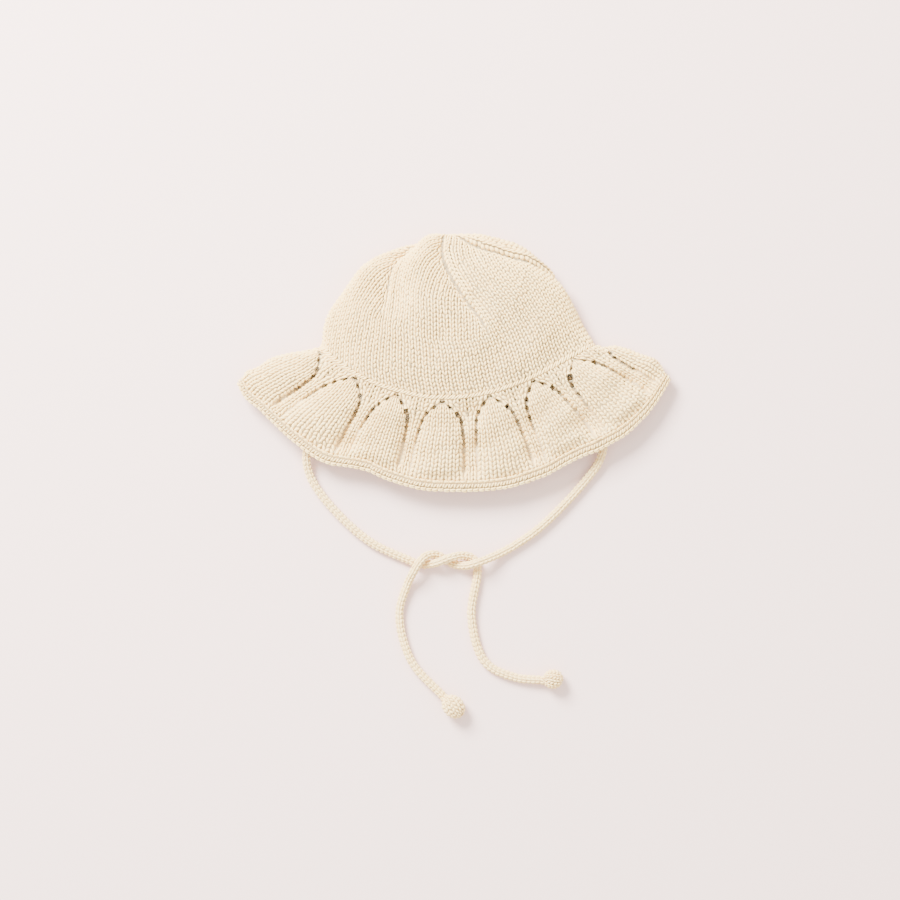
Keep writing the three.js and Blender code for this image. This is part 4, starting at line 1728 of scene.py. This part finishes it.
@dataclass
class Tie:
    """A knitted cord with four columns of stitches, and the bobble on its end."""

    name: str
    route: Sequence[tuple[float, float, float]]
    ball: BallForm
    ball_name: str
    radius: float = 3.2
    columns: int = 4
    row_height: float = 3.3
    sink: float = 2.0
    turned: float = 0.125
    core_rise: float = -0.8
    core_around: int = 10
    core_painted_shade: float = 0.22
    yarn_around: float = 20.0
    ball_columns: int = 9
    ball_rows: int = 8
    ball_span: tuple[float, float] = (0.03, 0.97)
    ball_slant: float = 0.02
    ball_core: tuple[int, int] = (16, 13)
    ball_core_rise: float = -1.2
    ball_yarn: tuple[float, float] = (40.0, 24.0)

    def build(self, seed: int, yarn: bpy.types.Material) -> None:
        """Args:
            seed: where its small differences start.
            yarn: the yarn's finish.
        """
        curve = smooth_route(self.route)
        sunk = curve[-1] + self.sink * unit(curve[-1] - curve[-2])
        curve = np.vstack([curve, sunk])
        form = CordForm(curve, self.radius)
        length = form.lengths[-1]
        rows = round(length / self.row_height)
        edges = np.linspace(0, 1, rows + 1)
        column, row = (part.ravel() for part in np.meshgrid(np.arange(self.columns), np.arange(rows)))
        left = np.stack([column, column], axis=1) / self.columns + self.turned
        cells = cell_grid(left, left + 1 / self.columns, edges[row], edges[row + 1])
        stitch = Stitch(depth=1.0, thickness=1.1, half_width=0.18, dive=0.5)
        knitter = Knitter(stitch, seed, shift=0.02, rise_shift=0.05)
        # The cord's and the bobble's cores are painted darker, as the shade in the gaps between stitches.
        core_rises = np.full(len(curve), self.core_rise)
        core_rises[[0, -1]] = -self.radius
        downs, yarn_size = form.lengths / length, (self.yarn_around, length)
        core = wrapped_form(form, self.core_around, downs, core_rises, yarn_size)
        parts = [knitter.lay(form, cells), Part.of_form(core, self.core_painted_shade)]
        piece = Part.join(parts).dress(f"{self.name}_cord", yarn, self.name, "tie_knit")
        bobble = self._bobble(seed + 1, yarn)
        LOG.info("%s: %.0f mm, %d stitches", self.name, length, len(cells))

    def _bobble(self, seed: int, yarn: bpy.types.Material) -> bpy.types.Object:
        """Knit the ball on the cord's end.

        Args:
            seed: where its small differences start.
            yarn: the yarn's finish.

        Returns:
            The bobble.
        """
        edges = np.linspace(*self.ball_span, self.ball_rows + 1)
        grid = np.meshgrid(np.arange(self.ball_columns), np.arange(self.ball_rows))
        column, row = (part.ravel() for part in grid)
        left = np.stack([column, column], axis=1) / self.ball_columns + self.ball_slant * row[:, None]
        cells = cell_grid(left, left + 1 / self.ball_columns, edges[row], edges[row + 1])
        stitch = Stitch(depth=1.0, thickness=1.3, half_width=0.17)
        knitter = Knitter(stitch, seed, shift=0.04, rise_shift=0.1)
        around, rows = self.ball_core
        core = wrapped_form(self.ball, around, np.linspace(0, 1, rows), self.ball_core_rise, self.ball_yarn)
        parts = [knitter.lay(self.ball, cells), Part.of_form(core, self.core_painted_shade)]
        return Part.join(parts).dress(f"{self.ball_name}_knit", yarn, self.ball_name, "bobble_knit")


@dataclass(frozen=True)
class Lamp:
    """One square soft light: where it hangs and its side, in metres, and its power in watts."""

    name: str
    place: tuple[float, float, float]
    size: float
    power: float


@dataclass
class Studio:
    """The pale floor, the soft lights and the camera straight above the hat."""

    view_width: float = 0.648
    camera_height: float = 1.9
    centre: tuple[float, float] = (-0.0029, -0.063)
    sharp_height: float = 0.015
    floor_size: float = 4.0
    floor_colour: tuple[float, float, float] = (0.84, 0.64, 0.585)
    floor_roughness: float = 0.95
    floor_shine: float = 0.1
    sky_colour: tuple[float, float, float] = (1.0, 0.98, 0.96)
    sky_strength: float = 2.3
    aim: tuple[float, float, float] = (0.0, -0.05, 0.0)
    lamps: tuple[Lamp, ...] = (
        Lamp("key", (-0.98, 1.18, 1.38), 0.9, 272.0),
        Lamp("fill", (1.2, -0.6, 1.6), 1.6, 12.0),
    )

    def build(self) -> None:
        """Set up floor, lights, sky and camera."""
        self._floor()
        for lamp in self.lamps:
            self._light(lamp)
        self._sky()
        self._camera()

    def _sky(self) -> None:
        """Light the scene softly from all around."""
        world = bpy.data.worlds.new("soft_sky")
        bpy.context.scene.world = world
        world.use_nodes = True
        sky = world.node_tree.nodes["Background"]
        sky.inputs["Color"].default_value = (*self.sky_colour, 1)
        sky.inputs["Strength"].default_value = self.sky_strength

    def _camera(self) -> None:
        """Put the camera straight above the hat."""
        data = bpy.data.cameras.new("camera")
        data.sensor_fit = "HORIZONTAL"
        data.angle = 2 * math.atan(self.view_width / 2 / (self.camera_height - self.sharp_height))
        camera = bpy.data.objects.new("camera", data)
        camera.location = (*self.centre, self.camera_height)
        bpy.context.scene.collection.objects.link(camera)
        bpy.context.scene.camera = camera

    def _floor(self) -> None:
        """Lay the floor under the hat."""
        form = bmesh.new()
        bmesh.ops.create_grid(form, x_segments=1, y_segments=1, size=self.floor_size)
        mesh = bpy.data.meshes.new("floor")
        form.to_mesh(mesh)
        form.free()
        material = bpy.data.materials.new("floor_paint")
        material.use_nodes = True
        shader = material.node_tree.nodes["Principled BSDF"]
        shader.inputs["Base Color"].default_value = (*self.floor_colour, 1)
        shader.inputs["Roughness"].default_value = self.floor_roughness
        shader.inputs["Specular IOR Level"].default_value = self.floor_shine
        mesh.materials.append(material)
        floor = bpy.data.objects.new("floor", mesh)
        bpy.context.scene.collection.objects.link(floor)

    def _light(self, lamp: Lamp) -> None:
        """Hang one lamp, so that it looks at the hat.

        Args:
            lamp: its name, place, size and power.
        """
        data = bpy.data.lights.new(lamp.name, "AREA")
        data.size = lamp.size
        data.energy = lamp.power
        light = bpy.data.objects.new(lamp.name, data)
        light.location = lamp.place
        way = Vector(self.aim) - Vector(lamp.place)
        light.rotation_euler = way.to_track_quat("-Z", "Y").to_euler()
        bpy.context.scene.collection.objects.link(light)


def main() -> None:
    """Build the hat over its frame, and set the scene."""
    logging.basicConfig(level=logging.INFO, format="%(name)s: %(message)s")
    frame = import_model()
    LOG.info("frame: %d nodes", len(frame["nodes"]))
    groups = NodeGroups()
    yarn = YarnFinish("cream_cotton", CREAM, groups).material()
    tie_yarn = YarnFinish("cream_cotton_cord", CREAM_TIE, groups).material()
    # The backing's finish is the wrong side's yarn, and its dark end paints the shade in the gaps and around
    # the slits.
    wrong_side_and_gap_shade = YarnFinish("cream_cotton_wrong_side_and_painted_gap_shade", CREAM_INSIDE_AND_GAP_SHADE, groups, is_backing=True).material()
    Studio().build()
    left_ball = BallForm(centre=(-0.4, -248.4, 7.8), half_long=9.2, half_wide=7.8, angle=-48)
    right_ball = BallForm(centre=(71.6, -228.6, 7.0), half_long=7.4, half_wide=7.0, angle=6)
    Tie("tie_left", LEFT_ROUTE, right_ball, "bobble_right").build(seed=20, yarn=tie_yarn)
    Tie("tie_right", RIGHT_ROUTE, left_ball, "bobble_left").build(seed=30, yarn=tie_yarn)
    fabric = HatFabric()
    petal_stitch = Stitch(depth=1.2, half_width=0.172, dive=0.5, end_shade=0.10)
    Crown(fabric).build(Knitter(Stitch(), seed=11), yarn, wrong_side_and_gap_shade)
    Brim(fabric, Eyelets(fabric)).build(Knitter(petal_stitch, seed=12), yarn, wrong_side_and_gap_shade)
    Hem(fabric).build(seed=13, yarn=yarn)


if __name__ == "__main__":
    main()
